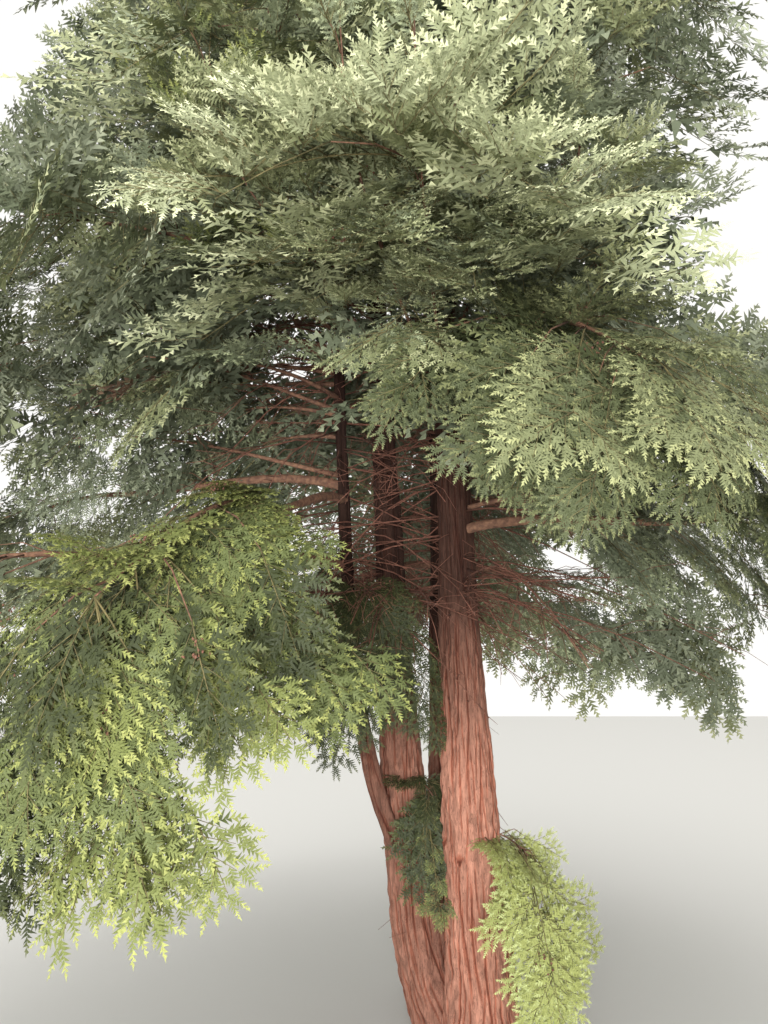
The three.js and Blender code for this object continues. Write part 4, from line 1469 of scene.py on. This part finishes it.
# %% The boughs' bark
BOUGH_POINTS = 14
BOUGH_RELIEF = 0.008
lumps = bpy.data.textures.new("bough_lumps", "CLOUDS")
lumps.noise_scale = 0.05
lumps.noise_depth = 2


def bend_bough(node, line):
    """One bough as a bevelled curve, from inside its stem to where its foliage starts."""
    deselect()
    bpy.ops.curve.primitive_nurbs_path_add(location=(0, 0, 0))
    bpy.ops.object.mode_set(mode="OBJECT")
    piece = bpy.context.object
    curve = piece.data
    curve.splines.clear()
    spline = curve.splines.new("POLY")
    spline.points.add(BOUGH_POINTS - 1)
    for index, share in enumerate(np.linspace(0, 1, BOUGH_POINTS)):
        spline.points[index].co = (*line.point(share), 1)
        spline.points[index].radius = BOUGH_RADIUS + (BOUGH_TIP_RADIUS - BOUGH_RADIUS) * share
    curve.dimensions = "3D"
    curve.bevel_depth = 1.0
    curve.bevel_resolution = 3
    curve.use_fill_caps = True
    piece.name = node + "_bark"
    make_active(piece)
    bpy.ops.object.convert(target="MESH")
    piece = bpy.context.object
    smooth = piece.modifiers.new("smooth", "SUBSURF")
    smooth.levels = smooth.render_levels = 1
    bpy.ops.object.modifier_apply(modifier="smooth")
    rough = piece.modifiers.new("lumps", "DISPLACE")
    rough.texture = lumps
    rough.strength = BOUGH_RELIEF
    rough.mid_level = 0.5
    bpy.ops.object.modifier_apply(modifier="lumps")
    for polygon in piece.data.polygons:
        polygon.use_smooth = True
    piece.data.materials.append(twig_bark)
    return stand_for(piece, [node])


bough_pieces = [bend_bough(node, line) for node, line in bough_lines.items()]
print(len(bough_pieces), "boughs, the first with", 2 * len(bough_pieces[0].data.polygons), "triangles")

# %% [markdown]
# Clusters of small cones sit on the older parts of some sprays. Each cone is a little spindle of
# eight faces, about 13 mm long, in the red-brown of last year's dried cones.

# %% The cones
CONE_CLUSTERS = 130
CONES_EACH = 14
CONE_LENGTH = 0.013
CONE_SPREAD = 0.035
cone_row = number_row(801)
BUD = np.array([(0, 0, 0), (0.3, 0, 0.4), (0, 0.3, 0.4), (-0.3, 0, 0.4), (0, -0.3, 0.4), (0, 0, 1.0)])
BUD_FACES = np.array([
    (0, 2, 1), (0, 3, 2), (0, 4, 3), (0, 1, 4), (5, 1, 2), (5, 2, 3), (5, 3, 4), (5, 4, 1),
])


def cone_cluster(branchlet, row):
    middle = branchlet["root"] + branchlet["along"] * branchlet["length"] * between(row, 0.15, 0.5)
    buds = []
    for _ in range(CONES_EACH):
        offset = np.array([between(row, -CONE_SPREAD, CONE_SPREAD) for _ in range(3)])
        turn = between(row, 0, 2 * math.pi)
        lean = between(row, 0.2, 1.2)
        up = np.array([math.sin(lean) * math.cos(turn), math.sin(lean) * math.sin(turn), math.cos(lean)])
        side = unit(np.cross(up, (0.3, 0.9, 0.2)))
        axes_of_bud = np.array([side, np.cross(up, side), up])
        buds.append(middle + offset + CONE_LENGTH * between(row, 0.8, 1.3) * BUD @ axes_of_bud)
    return buds


buds = []
for _ in range(CONE_CLUSTERS):
    buds += cone_cluster(branchlets[int(next(cone_row) * len(branchlets))], cone_row)
points = np.concatenate(buds)
faces = (BUD_FACES[None] + np.arange(len(buds))[:, None, None] * len(BUD)).reshape(-1, 3)

# dried cones are woody, matt and red-brown, some of them paler than others
cone_scales = twig_material("dry_cone_scales", "#5c3a2e", "#805a46")
stand_for(mesh_piece("cones", points, faces, cone_scales), masses_in_frame)
print(len(buds), "cones,", len(faces), "faces")

# %% [markdown]
# The set is plain: a pale floor, pale air all round and two broad soft lamps, one high above, like
# an overcast sky, and one low and some way behind the camera, whose even light comes up under the
# sprays, as it does from bright ground.

# %% Floor and light
FLOOR_SIZE = 40
AIR_STRENGTH = 1.15
LAMPS = (  # name, place, what it faces, size and watts
    ("sky_lamp", (-3.0, -5.0, 13.0), (0, 0, 3.0), 9.0, 800),
    ("low_lamp", (-1.5, -9.0, 0.6), (0.0, 0, 3.8), 5.0, 2000),
)

deselect()
bpy.ops.mesh.primitive_plane_add(size=FLOOR_SIZE, location=(0, 0, 0))
floor = bpy.context.object
floor.name = "floor"
floor_material, _, floor_shader = new_material("pale_floor")
floor_shader.inputs["Base Color"].default_value = linear("#d9d8d4")
floor_shader.inputs["Roughness"].default_value = 0.9
floor.data.materials.append(floor_material)

world = bpy.data.worlds.new("pale_air")
world.use_nodes = True
background = world.node_tree.nodes["Background"]
background.inputs["Color"].default_value = linear("#f4f3f0")
background.inputs["Strength"].default_value = AIR_STRENGTH
bpy.context.scene.world = world


def add_soft_lamp(name, place, aim, size, power):
    data = bpy.data.lights.new(name, "AREA")
    data.size = size
    data.energy = power
    lamp = bpy.data.objects.new(name, data)
    lamp.location = place
    lamp.rotation_euler = (Vector(aim) - Vector(place)).to_track_quat("-Z", "Y").to_euler()
    bpy.context.collection.objects.link(lamp)


for lamp in LAMPS:
    add_soft_lamp(*lamp)
bpy.context.scene.view_settings.view_transform = "Standard"
print(len(LAMPS), "lamps and the air light the set")
